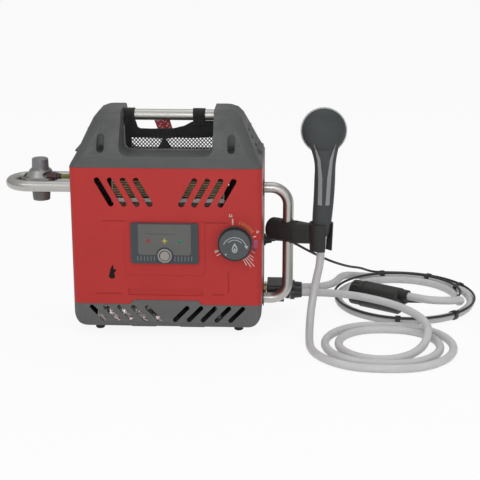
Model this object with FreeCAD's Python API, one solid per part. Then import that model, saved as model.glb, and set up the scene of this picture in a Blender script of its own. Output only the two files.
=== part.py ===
import FreeCAD, Part
import math
import os

# Portable propane water heater. Millimetres, +Z up, the front faces -Y.
# The case's middle is at X = 0, Y = 0 while the pieces are made; each piece is moved
# to the part's own origin, under the middle of the whole heater, when it is written.

Vec = FreeCAD.Vector

# Case.
case_w = 325.0
case_d = 185.0
case_corner = 12.0
wall = 2.5
seam = 0.4
lip = 6.0
lip_t = 1.8
lip_fit = 0.3

base_z = 12.5
base_top = 55.2
base_corner = 30.0
base_edge = 10.0
panel_top = 295.0
rear_top = 285.0

tab_x = -2.0
tab_half = 55.0
tab_rise = 7.5

# Half width, half depth and corner radius of the top cover at each height above its seam.
cover_sections = (
    (0.0, 162.5, 92.5, 12.0),
    (5.0, 160.5, 90.5, 14.0),
    (20.0, 152.0, 84.5, 16.0),
    (52.0, 137.5, 64.5, 18.0),
    (75.0, 126.5, 49.0, 18.0),
    (84.5, 118.5, 40.0, 16.0),
    (88.5, 109.0, 32.0, 12.0),
)
saddle_half = 79.0
saddle_corner = 14.0
saddle_floor = 313.0
saddle_bend_y = -32.0
saddle_back_y = 78.0
saddle_back_z = 292.5

louvre_count = 4
louvre_top = 354.0
louvre_pitch = 12.5
louvre_half = 28.0
louvre_y = 7.0
louvre_out = 3.0
hook_z = 309.0
hook_out = 6.0

pocket_x = 110.0
pocket_z0 = 324.0
pocket_z1 = 341.0
pocket_r = 6.2
pocket_y = -62.0

# Slots.
slot_w = 9.8
slot_z0 = 233.0
slot_z1 = 273.5
slot_first = 26.5
slot_pitch = 22.0
slot_lean = 22.5
slot_count = 4

vent_w = 8.0
vent_z0 = 27.0
vent_z1 = 49.0
vent_first = 13.5
vent_pitch = 24.0
vent_lean = 21.0
vent_count = 5

# Feet and skids.
foot_x = 122.0
foot_y = 60.0
foot_r = 8.0
skid_x = 42.0
skid_half = 21.0
skid_drop = 2.5
skid_len = 160.0

# Display.
disp_x = -2.2
disp_z = 165.5
disp_w = 115.0
disp_h = 71.5
disp_t = 3.0
pad_t = 1.0
pad_margin = 10.5
recess_half = 64.0
recess_z0 = 72.0
recess_z1 = 85.0
recess_slope = 8.0
recess_depth = 2.2
pad_low = 57.0
pad_high = 38.0
label_w = 90.0
label_h = 54.0
label_t = 1.0
label_top_gap = 2.2
light_pitch = 27.3
light_z = 170.0
light_r = 2.6
button_z = 144.0
button_r = 8.4
button_ring_r = 12.2
button_rim_r = 14.2
button_fit = 0.3
button_travel = 2.0

# Temperature dial.
dial_x = 117.3
dial_z = 168.0
dial_r = 29.0
dial_h = 15.0
dial_gap = 0.6
shaft_r = 4.0

# Steel tube.
tube_r = 9.525
tube_wall = 1.5
tube_inside = 24.0
rail_z = 369.0
rail_half = 100.0
loop_z = 248.7
loop_half = 37.1
loop_x = -243.0
handle_out = 43.5
handle_z0 = 39.0
handle_z1 = 242.0
handle_bend = 35.0
bush_t = 2.0
bush_rim = 3.0
fit = 0.15

# Gas side.
reg_x = -229.0
reg_body_r = 24.0
reg_cone_r = 29.0
reg_cap_r = 14.8
reg_cap_z0 = 272.5
reg_cap_z1 = 290.5
reg_z0 = 236.0
plate_z = 253.4
plate_t = 2.0
plate_clear = 0.9
socket_r = 16.4
socket_z0 = 216.6
socket_bore_r = 12.1
socket_bore = 13.0
gas_y = -14.0
gas_z = 261.0
gas_hose_r = 4.0
elbow_r = 7.2
elbow_x0 = -214.0
elbow_x1 = -190.0

# Water side.
water_z = 41.5
water_y = 40.0
water_pitch = 30.0
block_gap = 6.5
block_w = 31.0
block_half_y = 28.5
block_half_z = 15.3
nipple_r = 6.5
collar_r = 11.5
collar_gap = 3.0
collar_w = 7.5
collar_travel = 2.5
spigot_r = 8.0
conn_gap = 0.5
conn_len = 21.0
conn_flange_r = 13.0
conn_flange_w = 8.0
conn_r = 9.2

# Handset and holder.
arm_reach = 66.3
arm_turn = -30.0
cup_r = 21.0
cup_z0 = 140.0
cup_z1 = 188.0
cup_bore0 = 9.8
cup_bore1 = 17.4
cup_slot = 16.0
cup_slot_deg = -15.0
clamp_z = 164.0
clamp_r = 20.0
clamp_back = 18.5
clamp_front = 17.0
liner_r = 12.0
liner_h = 34.0
knob_clear = 4.3
knob_round = 10.0
knob_gap = 0.5
head_dx = 1.6
head_z = 349.5
inlay_gap = 0.12
inlay_t = 0.6
head_r = 37.4
face_r = 39.6
face_t = 7.0
head_tilt = 8.0
nut_lift = 0.2
nut_z1 = 167.0
nut_r0 = 8.6
nut_r1 = 11.0

# Hoses and cable.
hose_r = 7.0
cable_r = 2.25
floor_gap = 0.3
joint_gap = 0.3

# Pump.
pump_r = 24.0
pump_len = 78.0
pump_collar_r = 10.5
pump_collar = 14.0
strainer_r = 22.5
strainer_len = 20.0

half_w = case_w / 2
half_d = case_d / 2
front_y = -half_d
handle_x = half_w + handle_out
block_x0 = half_w + block_gap
block_x1 = block_x0 + block_w
collar_x0 = block_x1 + collar_gap
conn_x0 = collar_x0 + collar_w + conn_gap
conn_x1 = conn_x0 + conn_len
knob_lean = math.radians(abs(arm_turn))
knob_reach = (handle_out - knob_clear - (clamp_r - knob_round) * math.sin(knob_lean)) / math.cos(knob_lean)
inner_front = front_y + wall
cover_top = panel_top + cover_sections[-1][0]
cup_x = handle_x + arm_reach * math.cos(math.radians(arm_turn))
cup_y = arm_reach * math.sin(math.radians(arm_turn))
head_x = cup_x + head_dx
screw_head = 2.2
origin_x = (head_x + face_r + loop_x - loop_half - tube_r) / 2
origin_y = (front_y - dial_gap - dial_h + half_d + screw_head) / 2


def save(name, shape):
    moved = shape.copy()
    moved.translate(Vec(-origin_x, -origin_y, 0))
    if not moved.isValid():
        print("not valid:", name)
    moved.exportStep(os.path.join("parts", name + ".step"))
    print(f"{name}: {len(moved.Solids)} solids, {moved.Volume:.0f} mm3")


def box(x0, x1, y0, y1, z0, z1):
    return Part.makeBox(x1 - x0, y1 - y0, z1 - z0, Vec(x0, y0, z0))


def rod(start, end, r0, r1=None):
    """A cylinder or cone from one point to another."""
    a, b = Vec(*start), Vec(*end)
    along = b - a
    if r1 is None or abs(r1 - r0) < 1e-9:
        return Part.makeCylinder(r0, along.Length, a, along)
    return Part.makeCone(r0, r1, along.Length, a, along)


def fuse(shapes):
    shapes = list(shapes)
    if len(shapes) == 1:
        return shapes[0]
    return shapes[0].fuse(shapes[1:]).removeSplitter()


def polygon(points):
    return Part.Wire(Part.makePolygon([Vec(*p) for p in points] + [Vec(*points[0])]))


def plate_xz(points, y0, y1):
    """A flat piece with its outline in X and Z."""
    face = Part.Face(polygon([(x, y0, z) for x, z in points]))
    return face.extrude(Vec(0, y1 - y0, 0))


def plate_yz(points, x0, x1):
    """A flat piece with its outline in Y and Z."""
    face = Part.Face(polygon([(x0, y, z) for y, z in points]))
    return face.extrude(Vec(x1 - x0, 0, 0))


def round_wire(corners, radii, place):
    """A closed outline of lines and arcs; place turns its two coordinates into a point."""
    edges = []
    count = len(corners)
    ends = []
    for i in range(count):
        here = Vec(corners[i][0], corners[i][1], 0)
        before = Vec(corners[i - 1][0], corners[i - 1][1], 0) - here
        after = Vec(corners[(i + 1) % count][0], corners[(i + 1) % count][1], 0) - here
        before.normalize()
        after.normalize()
        if radii[i] <= 0:
            ends.append((here, here, here))
            continue
        half = before.getAngle(after) / 2
        back = radii[i] / math.tan(half)
        middle = before + after
        middle.normalize()
        centre = here + middle * (radii[i] / math.sin(half))
        ends.append((here + before * back, centre - middle * radii[i], here + after * back))
    for i in range(count):
        start, mid, end = (place(p.x, p.y) for p in ends[i])
        if radii[i] > 0:
            edges.append(Part.Arc(start, mid, end).toShape())
        following = place(ends[(i + 1) % count][0].x, ends[(i + 1) % count][0].y)
        if (following - end).Length > 1e-6:
            edges.append(Part.LineSegment(end, following).toShape())
    return Part.Wire(edges)


def rect(x0, x1, z0, z1):
    return [(x0, z0), (x1, z0), (x1, z1), (x0, z1)]


def soft_plate(corners, radii, y0, y1):
    """A flat piece with rounded corners, its outline in X and Z."""
    wire = round_wire(corners, radii, lambda x, z: Vec(x, y0, z))
    return Part.Face(wire).extrude(Vec(0, y1 - y0, 0))


def slab(half_x, half_y, corner, z0, z1):
    """An upright block with rounded vertical edges."""
    wire = round_wire(
        rect(-half_x, half_x, -half_y, half_y), [corner] * 4, lambda x, y: Vec(x, y, z0)
    )
    return Part.Face(wire).extrude(Vec(0, 0, z1 - z0))


def capsule(x0, z0, x1, z1, width, y0, y1):
    """A straight slot with round ends between two points."""
    a, b = Vec(x0, 0, z0), Vec(x1, 0, z1)
    along = b - a
    along.normalize()
    side = Vec(along.z, 0, -along.x) * (width / 2)
    lift = Vec(0, y0, 0)
    edges = [
        Part.LineSegment(a + side + lift, b + side + lift).toShape(),
        Part.Arc(b + side + lift, b + along * (width / 2) + lift, b - side + lift).toShape(),
        Part.LineSegment(b - side + lift, a - side + lift).toShape(),
        Part.Arc(a - side + lift, a - along * (width / 2) + lift, a + side + lift).toShape(),
    ]
    return Part.Face(Part.Wire(edges)).extrude(Vec(0, y1 - y0, 0))


def turned(profile, centre, axis):
    """A body of revolution: profile holds (distance along the axis, radius)."""
    points = [Vec(r, 0, h) for h, r in profile]
    face = Part.Face(Part.Wire(Part.makePolygon(points + [points[0]])))
    body = face.revolve(Vec(0, 0, 0), Vec(0, 0, 1), 360)
    body.Placement = FreeCAD.Placement(Vec(*centre), FreeCAD.Rotation(Vec(0, 0, 1), Vec(*axis)))
    return body


def route_edges(points, radius=None):
    """Straight runs joined by tangent arcs, and the least arc radius."""
    pts = [Vec(*p) for p in points]
    edges = []
    at = pts[0]
    least = 1e9
    for i in range(1, len(pts) - 1):
        back = pts[i - 1] - pts[i]
        ahead = pts[i + 1] - pts[i]
        run = min(back.Length, ahead.Length)
        back.normalize()
        ahead.normalize()
        half = (math.pi - back.getAngle(ahead)) / 2
        r = 0.45 * run / math.tan(half)
        if radius is not None:
            r = min(r, radius)
        least = min(least, r)
        cut = r * math.tan(half)
        start, end = pts[i] + back * cut, pts[i] + ahead * cut
        middle = back + ahead
        middle.normalize()
        mid = pts[i] + middle * (r / math.cos(half) - r)
        edges.append(Part.LineSegment(at, start).toShape())
        edges.append(Part.Arc(start, mid, end).toShape())
        at = end
    edges.append(Part.LineSegment(at, pts[-1]).toShape())
    return edges, least


def sweep(edges, r):
    path = Part.Wire(edges)
    first = edges[0]
    start = first.valueAt(first.FirstParameter)
    along = first.tangentAt(first.FirstParameter)
    ring = Part.Wire([Part.Edge(Part.Circle(start, along, r))])
    return path.makePipeShell([ring], True, False), path.Length


def cord(name, points, r):
    """A cord's plain tube, its volume checked against section times length."""
    edges, least = route_edges(points)
    body, length = sweep(edges, r)
    share = body.Volume / (math.pi * r * r * length)
    print(f"{name}: {length:.0f} mm long, least radius {least:.0f} mm, volume share {share:.4f}")
    return body


def pipe(points, r, bend):
    edges, _ = route_edges(points, bend)
    return sweep(edges, r)[0]


def hollow_pipe(edges, r, thickness):
    return sweep(edges, r)[0].cut(sweep(edges, r - thickness)[0])


# Tapering shapes that the case is made from.
def cover_loft(inset, extra=0.0):
    wires = []
    for height, half_x, half_y, corner in cover_sections:
        z = panel_top + height - (inset if height == cover_sections[-1][0] else 0)
        wires.append(
            round_wire(
                rect(-half_x + inset, half_x - inset, -half_y + inset, half_y - inset),
                [corner - inset] * 4,
                lambda x, y, z=z: Vec(x, y, z),
            )
        )
    body = Part.makeLoft(wires, True, True)
    if extra:
        low = slab(half_w - inset, half_d - inset, case_corner - inset, panel_top - extra, panel_top)
        body = body.fuse(low)
    return body


def saddle(offset):
    """The hand opening: level at the front, then falling to the back."""
    floor = saddle_floor - offset
    half = saddle_half + offset
    high = cover_top + 40
    corner = saddle_corner + offset
    drop = saddle_back_z - saddle_floor
    lengths = (
        (front_y - 20, floor, Vec(0, saddle_bend_y - front_y + 20, 0)),
        (saddle_bend_y, floor, Vec(0, saddle_back_y - saddle_bend_y, drop)),
        (saddle_back_y, floor + drop, Vec(0, half_d + 20 - saddle_back_y, 0)),
    )
    pieces = []
    for y, z, along in lengths:
        wire = round_wire(
            rect(-half, half, z, high), [corner, corner, 0, 0], lambda a, b, y=y: Vec(a, y, b)
        )
        pieces.append(Part.Face(wire).extrude(along))
    return pieces[0].fuse(pieces[1:])


def slope_x(z):
    """Half width of the cover at a height."""
    up = z - panel_top
    for low, high in zip(cover_sections, cover_sections[1:]):
        if low[0] <= up <= high[0]:
            return low[1] + (high[1] - low[1]) * (up - low[0]) / (high[0] - low[0])
    return cover_sections[-1][1]


def base_block(inset):
    """The tray's outer form: rounded in plan, with big lower corners and soft lower edges."""
    z0 = base_z + inset
    body = slab(half_w - inset, half_d - inset, case_corner - inset, z0, base_top)
    front = soft_plate(
        rect(-half_w + inset, half_w - inset, z0, base_top + 1),
        [base_corner - inset] * 2 + [0, 0],
        front_y,
        half_d,
    )
    side = round_wire(
        rect(front_y + inset, half_d - inset, z0, base_top + 1),
        [base_edge - inset] * 2 + [0, 0],
        lambda y, z: Vec(-half_w, y, z),
    )
    return body.common(front).common(Part.Face(side).extrude(Vec(case_w, 0, 0)))


def lip_ring(z0, z1):
    outer = wall + lip_fit
    return slab(half_w - outer, half_d - outer, case_corner - outer, z0, z1).cut(
        slab(half_w - outer - lip_t, half_d - outer - lip_t, case_corner - outer - lip_t, z0, z1)
    )


def tab_outline(grow):
    half, rise = tab_half + grow, tab_rise + grow
    return [
        (tab_x - half - tab_rise, base_top),
        (tab_x - half, base_top + rise),
        (tab_x + half, base_top + rise),
        (tab_x + half + tab_rise, base_top),
    ]


tube_holes = {
    "loop_front": (-half_w, -loop_half, loop_z),
    "loop_back": (-half_w, loop_half, loop_z),
    "handle_low": (half_w, 0.0, handle_z0),
    "handle_high": (half_w, 0.0, handle_z1),
}
bush_r = tube_r + fit + bush_t


def side_hole(place, r):
    x, y, z = place
    return rod((x - 12, y, z), (x + 12, y, z), r)


def slots(first, pitch, lean, count, z0, z1, width, y0, y1):
    cuts = []
    for side in (-1, 1):
        for i in range(count):
            low = side * (first + i * pitch)
            cuts.append(capsule(low, z0, low + side * lean, z1, width, y0, y1))
    return cuts


def recess_form(grow, back):
    """The long finger recess above the tray: its top wall slopes inwards."""
    y0 = front_y - 1 + back
    y1 = front_y + recess_depth + back
    outline = [
        (y0, recess_z1 + grow), (front_y + back, recess_z1 + grow),
        (y1, recess_z1 - recess_slope), (y1, recess_z0), (y0, recess_z0 - 1 - grow),
    ]
    return plate_yz(outline, disp_x - recess_half - grow, disp_x + recess_half + grow)


def make_front_panel():
    z0, z1 = base_top + seam / 2, panel_top - seam / 2
    body = slab(half_w, half_d, case_corner, z0, z1).cut(
        slab(half_w - wall, half_d - wall, case_corner - wall, z0 - 1, z1 + 1)
    )
    body = body.common(box(-half_w, half_w, front_y, -seam / 2, z0, z1))
    pad_half = disp_w / 2 + pad_margin
    pad = soft_plate(
        rect(disp_x - pad_half, disp_x + pad_half, disp_z - pad_low, disp_z + pad_high),
        [8, 8, 2, 2],
        front_y - pad_t,
        front_y + 0.5,
    )
    body = body.fuse([pad, recess_form(2.0, wall)])
    cuts = slots(
        slot_first, slot_pitch, slot_lean, slot_count, slot_z0, slot_z1, slot_w,
        front_y - 5, front_y + 10,
    )
    groove = 1.2
    for x0, z_a, x1, z_b in (
        (-107, disp_z + pad_high, disp_x - pad_half - 1, disp_z + pad_high),
        (disp_x + pad_half + 1, disp_z + pad_high - 1.5, 104, disp_z + pad_high - 1.5),
        (106, 78, 106, 115),
        (-122, 74, -80, 74),
        (78, 74, 98, 74),
    ):
        cuts.append(capsule(x0, z_a, x1, z_b, 2.0, front_y - 3, front_y + groove))
    cuts.append(recess_form(0, 0))
    cuts.append(plate_xz(tab_outline(seam), front_y - 3, front_y + wall + 1))
    cuts.append(rod((dial_x, front_y - 5, dial_z), (dial_x, front_y + 8, dial_z), shaft_r + 0.8))
    cuts.append(rod((disp_x, front_y - 5, button_z), (disp_x, front_y + 8, button_z), 5.0))
    for i in (-1, 0, 1):
        x = disp_x + i * light_pitch
        cuts.append(rod((x, front_y - 5, light_z), (x, front_y + 8, light_z), light_r + 0.3))
    cuts.append(flame_plate(0.2, front_y - 5, front_y + 8))
    cuts.append(side_hole(tube_holes["loop_front"], bush_r + fit))
    cuts.append(side_hole(tube_holes["handle_high"], bush_r + fit))
    cuts.append(side_hole((-half_w, gas_y, gas_z), gland_r + fit))
    return body.cut(cuts)


def flame_plate(grow, y0, y1):
    """The flame-shaped sight window."""
    outline = [
        (-99.5, 104.0), (-95.5, 100.5), (-90.0, 101.5), (-88.5, 106.0), (-90.5, 110.5),
        (-85.5, 116.5), (-90.5, 117.5), (-92.0, 126.0), (-96.5, 117.0), (-97.5, 111.0),
    ]
    cx = sum(x for x, _ in outline) / len(outline)
    cz = sum(z for _, z in outline) / len(outline)
    points = []
    for x, z in outline:
        away = math.hypot(x - cx, z - cz)
        points.append((x + (x - cx) * grow / away, z + (z - cz) * grow / away))
    return plate_xz(points, y0, y1)


def make_rear_shell():
    z0, z1 = base_top + seam / 2, rear_top - seam / 2
    body = slab(half_w, half_d, case_corner, z0, z1).cut(
        slab(half_w - wall, half_d - wall, case_corner - wall, z0 - 1, z1 + 1)
    )
    body = body.common(box(-half_w, half_w, seam / 2, half_d, z0, z1))
    cuts = slots(
        slot_first, slot_pitch, -slot_lean, slot_count, slot_z0 - 8, slot_z1 - 8, slot_w,
        half_d - 10, half_d + 5,
    )
    for i in range(4):
        z = 90 + i * 14
        cuts.append(capsule(-50, z, 50, z, 6.0, half_d - 10, half_d + 5))
    for x, z in rear_screws():
        cuts.append(rod((x, half_d - 10, z), (x, half_d + 5, z), screw_r + 0.3))
    for key in ("loop_back", "handle_high"):
        cuts.append(side_hole(tube_holes[key], bush_r + fit))
    cuts.append(side_hole((half_w, power_y, power_z), power_r + fit))
    bosses = []
    for x, z in rear_screws():
        boss = rod((x, half_d - 16, z), (x, half_d - 1, z), 5.0)
        bosses.append(boss.cut(rod((x, half_d - 20, z), (x, half_d + 5, z), screw_r + 0.3)))
    return fuse([body.cut(cuts)] + bosses)


screw_r = 2.0
screw_head_r = 4.0
power_y = 60.0
power_z = 130.0
power_r = 9.0
gland_r = 6.5


def rear_screws():
    return [(x, z) for x in (-140.0, 140.0) for z in (80.0, 262.0)]


def make_top_cover():
    skirt = panel_top - rear_top
    outer = cover_loft(0)
    back = slab(half_w, half_d, case_corner, rear_top + seam / 2, panel_top)
    back = back.common(box(-half_w, half_w, seam / 2, half_d, rear_top, panel_top))
    body = outer.fuse(back)
    hollow = cover_loft(wall, skirt + 5)
    hollow = hollow.cut(saddle(wall))
    extras = []
    for side in (-1, 1):
        x = side * pocket_x
        outside = capsule(x, pocket_z0, x, pocket_z1, 2 * (pocket_r + 2), front_y, pocket_y + 2)
        extras.append(outside.common(outer))
        inner_end = side * rail_half
        boss = rod((side * (saddle_half + 1), 0, rail_z), (inner_end, 0, rail_z), tube_r + 2.2)
        extras.append(boss.common(outer))
    body = body.cut(saddle(0)).cut(hollow)
    body = body.fuse(extras)
    cuts = []
    hoods = []
    for side in (-1, 1):
        x = side * pocket_x
        cuts.append(capsule(x, pocket_z0, x, pocket_z1, 2 * pocket_r, front_y - 5, pocket_y))
        cuts.append(rod((x, pocket_y - 5, pocket_z0), (x, pocket_y + 5, pocket_z0), screw_r + 0.3))
        cuts.append(
            rod((side * (saddle_half - 5), 0, rail_z), (side * rail_half + side, 0, rail_z),
                tube_r + fit)
        )
        for i in range(louvre_count):
            z = louvre_top - i * louvre_pitch
            x0 = side * (slope_x(z) - 1.2)
            x1 = side * (slope_x(z - 6) + louvre_out)
            x2 = side * (slope_x(z - 7) - 1.2)
            hoods.append(plate_xz([(x0, z), (x1, z - 6), (x2, z - 7)],
                                  louvre_y - louvre_half, louvre_y + louvre_half))
            low = z - 7.3
            a, b = sorted((side * (slope_x(low) - 6), side * (slope_x(low) + 5)))
            cuts.append(box(a, b, louvre_y - louvre_half + 2, louvre_y + louvre_half - 2, low - 3.4, low))
        z = hook_z
        hoods.append(
            plate_xz(
                [
                    (side * (slope_x(z + 8) - 1.5), z + 8),
                    (side * (slope_x(z) + hook_out), z + 2),
                    (side * (slope_x(z) + hook_out), z),
                    (side * (slope_x(z - 2) - 1.5), z - 2),
                ],
                louvre_y - louvre_half - 6,
                louvre_y + louvre_half + 6,
            )
        )
    body = body.cut(cuts).fuse(hoods)
    front = lip_ring(panel_top - lip, panel_top + 1.0)
    front = front.common(box(-half_w, half_w, front_y, -seam, 0, cover_top))
    rear = lip_ring(rear_top - lip, rear_top + 12.0)
    rear = rear.common(box(-half_w, half_w, seam, half_d, 0, cover_top))
    join = slab(half_w - wall + 0.5, half_d - wall + 0.5, case_corner - wall, panel_top, panel_top + 1.5)
    join = join.cut(
        slab(half_w - 7, half_d - 7, case_corner - 7, panel_top - 1, panel_top + 3)
    )
    body = body.fuse([front, rear.cut(saddle(0)), join.cut(saddle(0))])
    return body.removeSplitter()


def make_base_tray():
    body = base_block(0)
    body = body.cut(base_block(wall).fuse(slab(half_w - wall, half_d - wall,
                                               case_corner - wall, base_top - 5, base_top + 5)))
    tab = plate_xz(tab_outline(0), front_y, front_y + wall)
    ring = lip_ring(base_top - 8, base_top + lip)
    shelf = slab(half_w - wall + 0.5, half_d - wall + 0.5, case_corner - wall,
                 base_top - 8, base_top - 6)
    shelf = shelf.cut(slab(half_w - 7, half_d - 7, case_corner - 7, base_top - 9, base_top))
    skids = []
    for side in (-1, 1):
        x = side * skid_x
        top, low = base_z + 0.5, base_z - skid_drop
        outline = [
            (x - skid_half - 2, top), (x - skid_half, low),
            (x + skid_half, low), (x + skid_half + 2, top),
        ]
        skids.append(plate_xz(outline, -skid_len / 2, skid_len / 2))
    body = body.fuse([tab, ring, shelf] + skids)
    cuts = slots(
        vent_first, vent_pitch, vent_lean, vent_count, vent_z0, vent_z1, vent_w,
        front_y - 5, front_y + 12,
    )
    cuts.append(side_hole(tube_holes["handle_low"], bush_r + fit))
    for y in water_lines():
        cuts.append(side_hole((half_w, y, water_z), nipple_r + fit))
    for x in (-foot_x, foot_x):
        for y in (-foot_y, foot_y):
            cuts.append(rod((x, y, base_z - 5), (x, y, base_z + 8), screw_r + 0.3))
    return body.cut(cuts).removeSplitter()


def water_lines():
    return (water_y - water_pitch / 2, water_y + water_pitch / 2)


def make_feet():
    feet = []
    for x in (-foot_x, foot_x):
        for y in (-foot_y, foot_y):
            profile = [(0, 0), (0, foot_r - 1.5), (1.5, foot_r), (base_z, foot_r), (base_z, 0)]
            foot = turned(profile, (x, y, 0), (0, 0, 1))
            feet.append(foot.cut(rod((x, y, -1), (x, y, 4.5), screw_head_r + 0.4)).cut(
                rod((x, y, 0), (x, y, base_z + 1), screw_r + 0.3)))
    return Part.makeCompound(feet)


def make_screws():
    screws = []
    for side in (-1, 1):
        x = side * pocket_x
        screws.append(rod((x, pocket_y - 2.4, pocket_z0), (x, pocket_y, pocket_z0), screw_head_r)
                      .fuse(rod((x, pocket_y, pocket_z0), (x, pocket_y + 9, pocket_z0), screw_r)))
    for x, z in rear_screws():
        screws.append(rod((x, half_d + screw_head, z), (x, half_d, z), screw_head_r).fuse(
            rod((x, half_d, z), (x, half_d - 15, z), screw_r)))
    for x in (-foot_x, foot_x):
        for y in (-foot_y, foot_y):
            screws.append(rod((x, y, 2.2), (x, y, 4.5), screw_head_r).fuse(
                rod((x, y, 4.5), (x, y, base_z + 6), screw_r)))
    return Part.makeCompound(screws)


def make_bushes():
    bushes = []
    for key, (x, y, z) in tube_holes.items():
        side = 1 if x > 0 else -1
        ring = rod((x - side * (wall + 3), y, z), (x, y, z), bush_r)
        rim = rod((x, y, z), (x + side * 1.5, y, z), bush_r + bush_rim)
        ring = ring.fuse(rim)
        bushes.append(ring.cut(rod((x - 20, y, z), (x + 20, y, z), tube_r + fit)))
    x = -half_w
    gland = rod((x - 2.0, gas_y, gas_z), (x, gas_y, gas_z), gland_r + 1.8)
    gland = gland.fuse(rod((x, gas_y, gas_z), (x + wall + 4, gas_y, gas_z), gland_r))
    gland = gland.cut(rod((x - 10, gas_y, gas_z), (x + 10, gas_y, gas_z), gas_hose_r + fit))
    bushes.append(gland)
    return Part.makeCompound(bushes)


def make_display_frame():
    y1 = front_y - pad_t
    frame = soft_plate(
        rect(disp_x - disp_w / 2, disp_x + disp_w / 2, disp_z - disp_h / 2, disp_z + disp_h / 2),
        [3] * 4, y1 - disp_t, y1,
    )
    cuts = [label_plate(0.1, y1 - disp_t - 1, y1 - disp_t + label_t)]
    ring = rod((disp_x, y1, button_z), (disp_x, y1 - disp_t - 1.4, button_z), button_rim_r)
    hole = rod((disp_x, y1 - 9, button_z), (disp_x, y1 + 2, button_z), button_r + button_fit)
    seat = rod((disp_x, y1 - 9, button_z), (disp_x, y1 - disp_t + 0.6, button_z), button_ring_r + 0.1)
    for i in (-1, 0, 1):
        x = disp_x + i * light_pitch
        cuts.append(rod((x, y1 - 9, light_z), (x, y1 + 2, light_z), light_r + 0.15))
    ribs = []
    for side in (-1, 1):
        for i in range(6):
            x = disp_x + side * (17.5 + i * 5.7)
            ribs.append(box(x - 1.1, x + 1.1, y1 - disp_t - 0.5, y1 - disp_t, button_z - 9, button_z - 1))
    return frame.cut(cuts).fuse(ribs + [ring]).cut([hole, seat])


def make_button_ring():
    y1 = front_y - pad_t - disp_t + 0.6
    ring = turned(
        [(0, button_r + 0.9), (0, button_ring_r), (2.0, button_ring_r), (2.6, button_ring_r - 0.8),
         (2.6, button_r + 1.6), (2.0, button_r + 0.9)],
        (disp_x, y1, button_z), (0, -1, 0),
    )
    return ring


def label_plate(grow, y0, y1):
    top = disp_z + disp_h / 2 - label_top_gap
    return soft_plate(
        rect(disp_x - label_w / 2 - grow, disp_x + label_w / 2 + grow, top - label_h - grow, top + grow),
        [6, 6, 2, 2], y0, y1,
    )


def make_display_label():
    y1 = front_y - pad_t - disp_t + label_t
    plate = label_plate(0, y1 - label_t, y1)
    cuts = [rod((disp_x, y1 - 9, button_z), (disp_x, y1 + 2, button_z), button_rim_r + 0.15)]
    for i in (-1, 0, 1):
        x = disp_x + i * light_pitch
        cuts.append(rod((x, y1 - 9, light_z), (x, y1 + 2, light_z), light_r + 0.15))
    return plate.cut(cuts)


def make_lights():
    y0 = front_y - pad_t - disp_t
    lights = []
    for i in (-1, 0, 1):
        x = disp_x + i * light_pitch
        lens = rod((x, y0, light_z), (x, inner_front + 4, light_z), light_r)
        cap = rod((x, y0 - 0.8, light_z), (x, y0, light_z), light_r - 0.8, light_r)
        lights.append(lens.fuse(cap))
    return Part.makeCompound(lights)


def make_button():
    y1 = front_y - pad_t - disp_t - 2.6
    seat = front_y - pad_t - button_travel - 0.3
    profile = [(0, 0), (0, 4.0), (inner_front + 3.5 - button_travel - 0.3 - seat, 4.0)]
    head = turned(
        [(0, 0), (0, button_r), (-(seat - y1) + 0.8, button_r), (-(seat - y1), button_r - 0.8),
         (-(seat - y1), 0)],
        (disp_x, seat, button_z), (0, 1, 0),
    )
    stem = rod((disp_x, seat, button_z), (disp_x, seat + profile[2][0], button_z), profile[1][1])
    return head.fuse(stem)


def make_board():
    y0 = inner_front + 6.0
    plate = box(disp_x - 54, disp_x + 54, y0, y0 + 1.6, disp_z - 36, disp_z + 34)
    bits = [plate]
    for x in (-48, 48):
        for z in (-31, 29):
            bits.append(rod((disp_x + x, inner_front, disp_z + z), (disp_x + x, y0, disp_z + z), 3.0))
    bits.append(box(disp_x - 4, disp_x + 4, inner_front + 3.5, y0, button_z - 4, button_z + 4))
    for i in (-1, 0, 1):
        x = disp_x + i * light_pitch
        bits.append(box(x - 2.5, x + 2.5, inner_front + 4.0, y0, light_z - 2.5, light_z + 2.5))
    bits.append(box(disp_x - 30, disp_x - 10, y0 + 1.6, y0 + 9, disp_z - 20, disp_z + 5))
    bits.append(box(disp_x + 12, disp_x + 36, y0 + 1.6, y0 + 13, disp_z - 25, disp_z + 10))
    return fuse(bits)


def make_dial():
    back = front_y - dial_gap
    skirt = 2.5
    profile = [
        (0, 0), (0, dial_r), (skirt, dial_r), (skirt + 0.6, dial_r - 0.9),
        (dial_h - 1.2, dial_r - 1.5), (dial_h, dial_r - 2.4), (dial_h, 0),
    ]
    knob = turned(profile, (dial_x, back, dial_z), (0, -1, 0))
    knob = knob.cut(rod((dial_x, back, dial_z), (dial_x, back - 9, dial_z), shaft_r))
    grooves = []
    for i in range(24):
        a = math.radians(i * 15)
        x, z = dial_x + math.cos(a) * (dial_r - 0.7), dial_z + math.sin(a) * (dial_r - 0.7)
        grooves.append(rod((x, back - skirt - 1, z), (x, back - dial_h + 1.6, z), 1.0))
    return knob.cut(grooves)


def make_shaft():
    back = front_y - dial_gap
    shaft = rod((dial_x, back - 9, dial_z), (dial_x, inner_front + 24, dial_z), shaft_r)
    return shaft.cut(box(dial_x - 5, dial_x + 5, back - 12, back - 0.2, dial_z + shaft_r - 1, dial_z + 5))


def make_valve():
    body = box(dial_x - 17, dial_x + 17, inner_front + 14, inner_front + 48, dial_z - 16, dial_z + 16)
    neck = rod((dial_x, inner_front, dial_z), (dial_x, inner_front + 14, dial_z), 11)
    flange = box(dial_x - 20, dial_x + 20, inner_front, inner_front + 2, dial_z - 14, dial_z + 14)
    cap = rod((dial_x, inner_front + 48, dial_z), (dial_x, inner_front + 60, dial_z), 13)
    body = fuse([body, neck, flange, cap])
    body = body.cut(rod((dial_x, inner_front - 1, dial_z), (dial_x, inner_front + 24.2, dial_z), shaft_r + 0.15))
    return body


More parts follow.
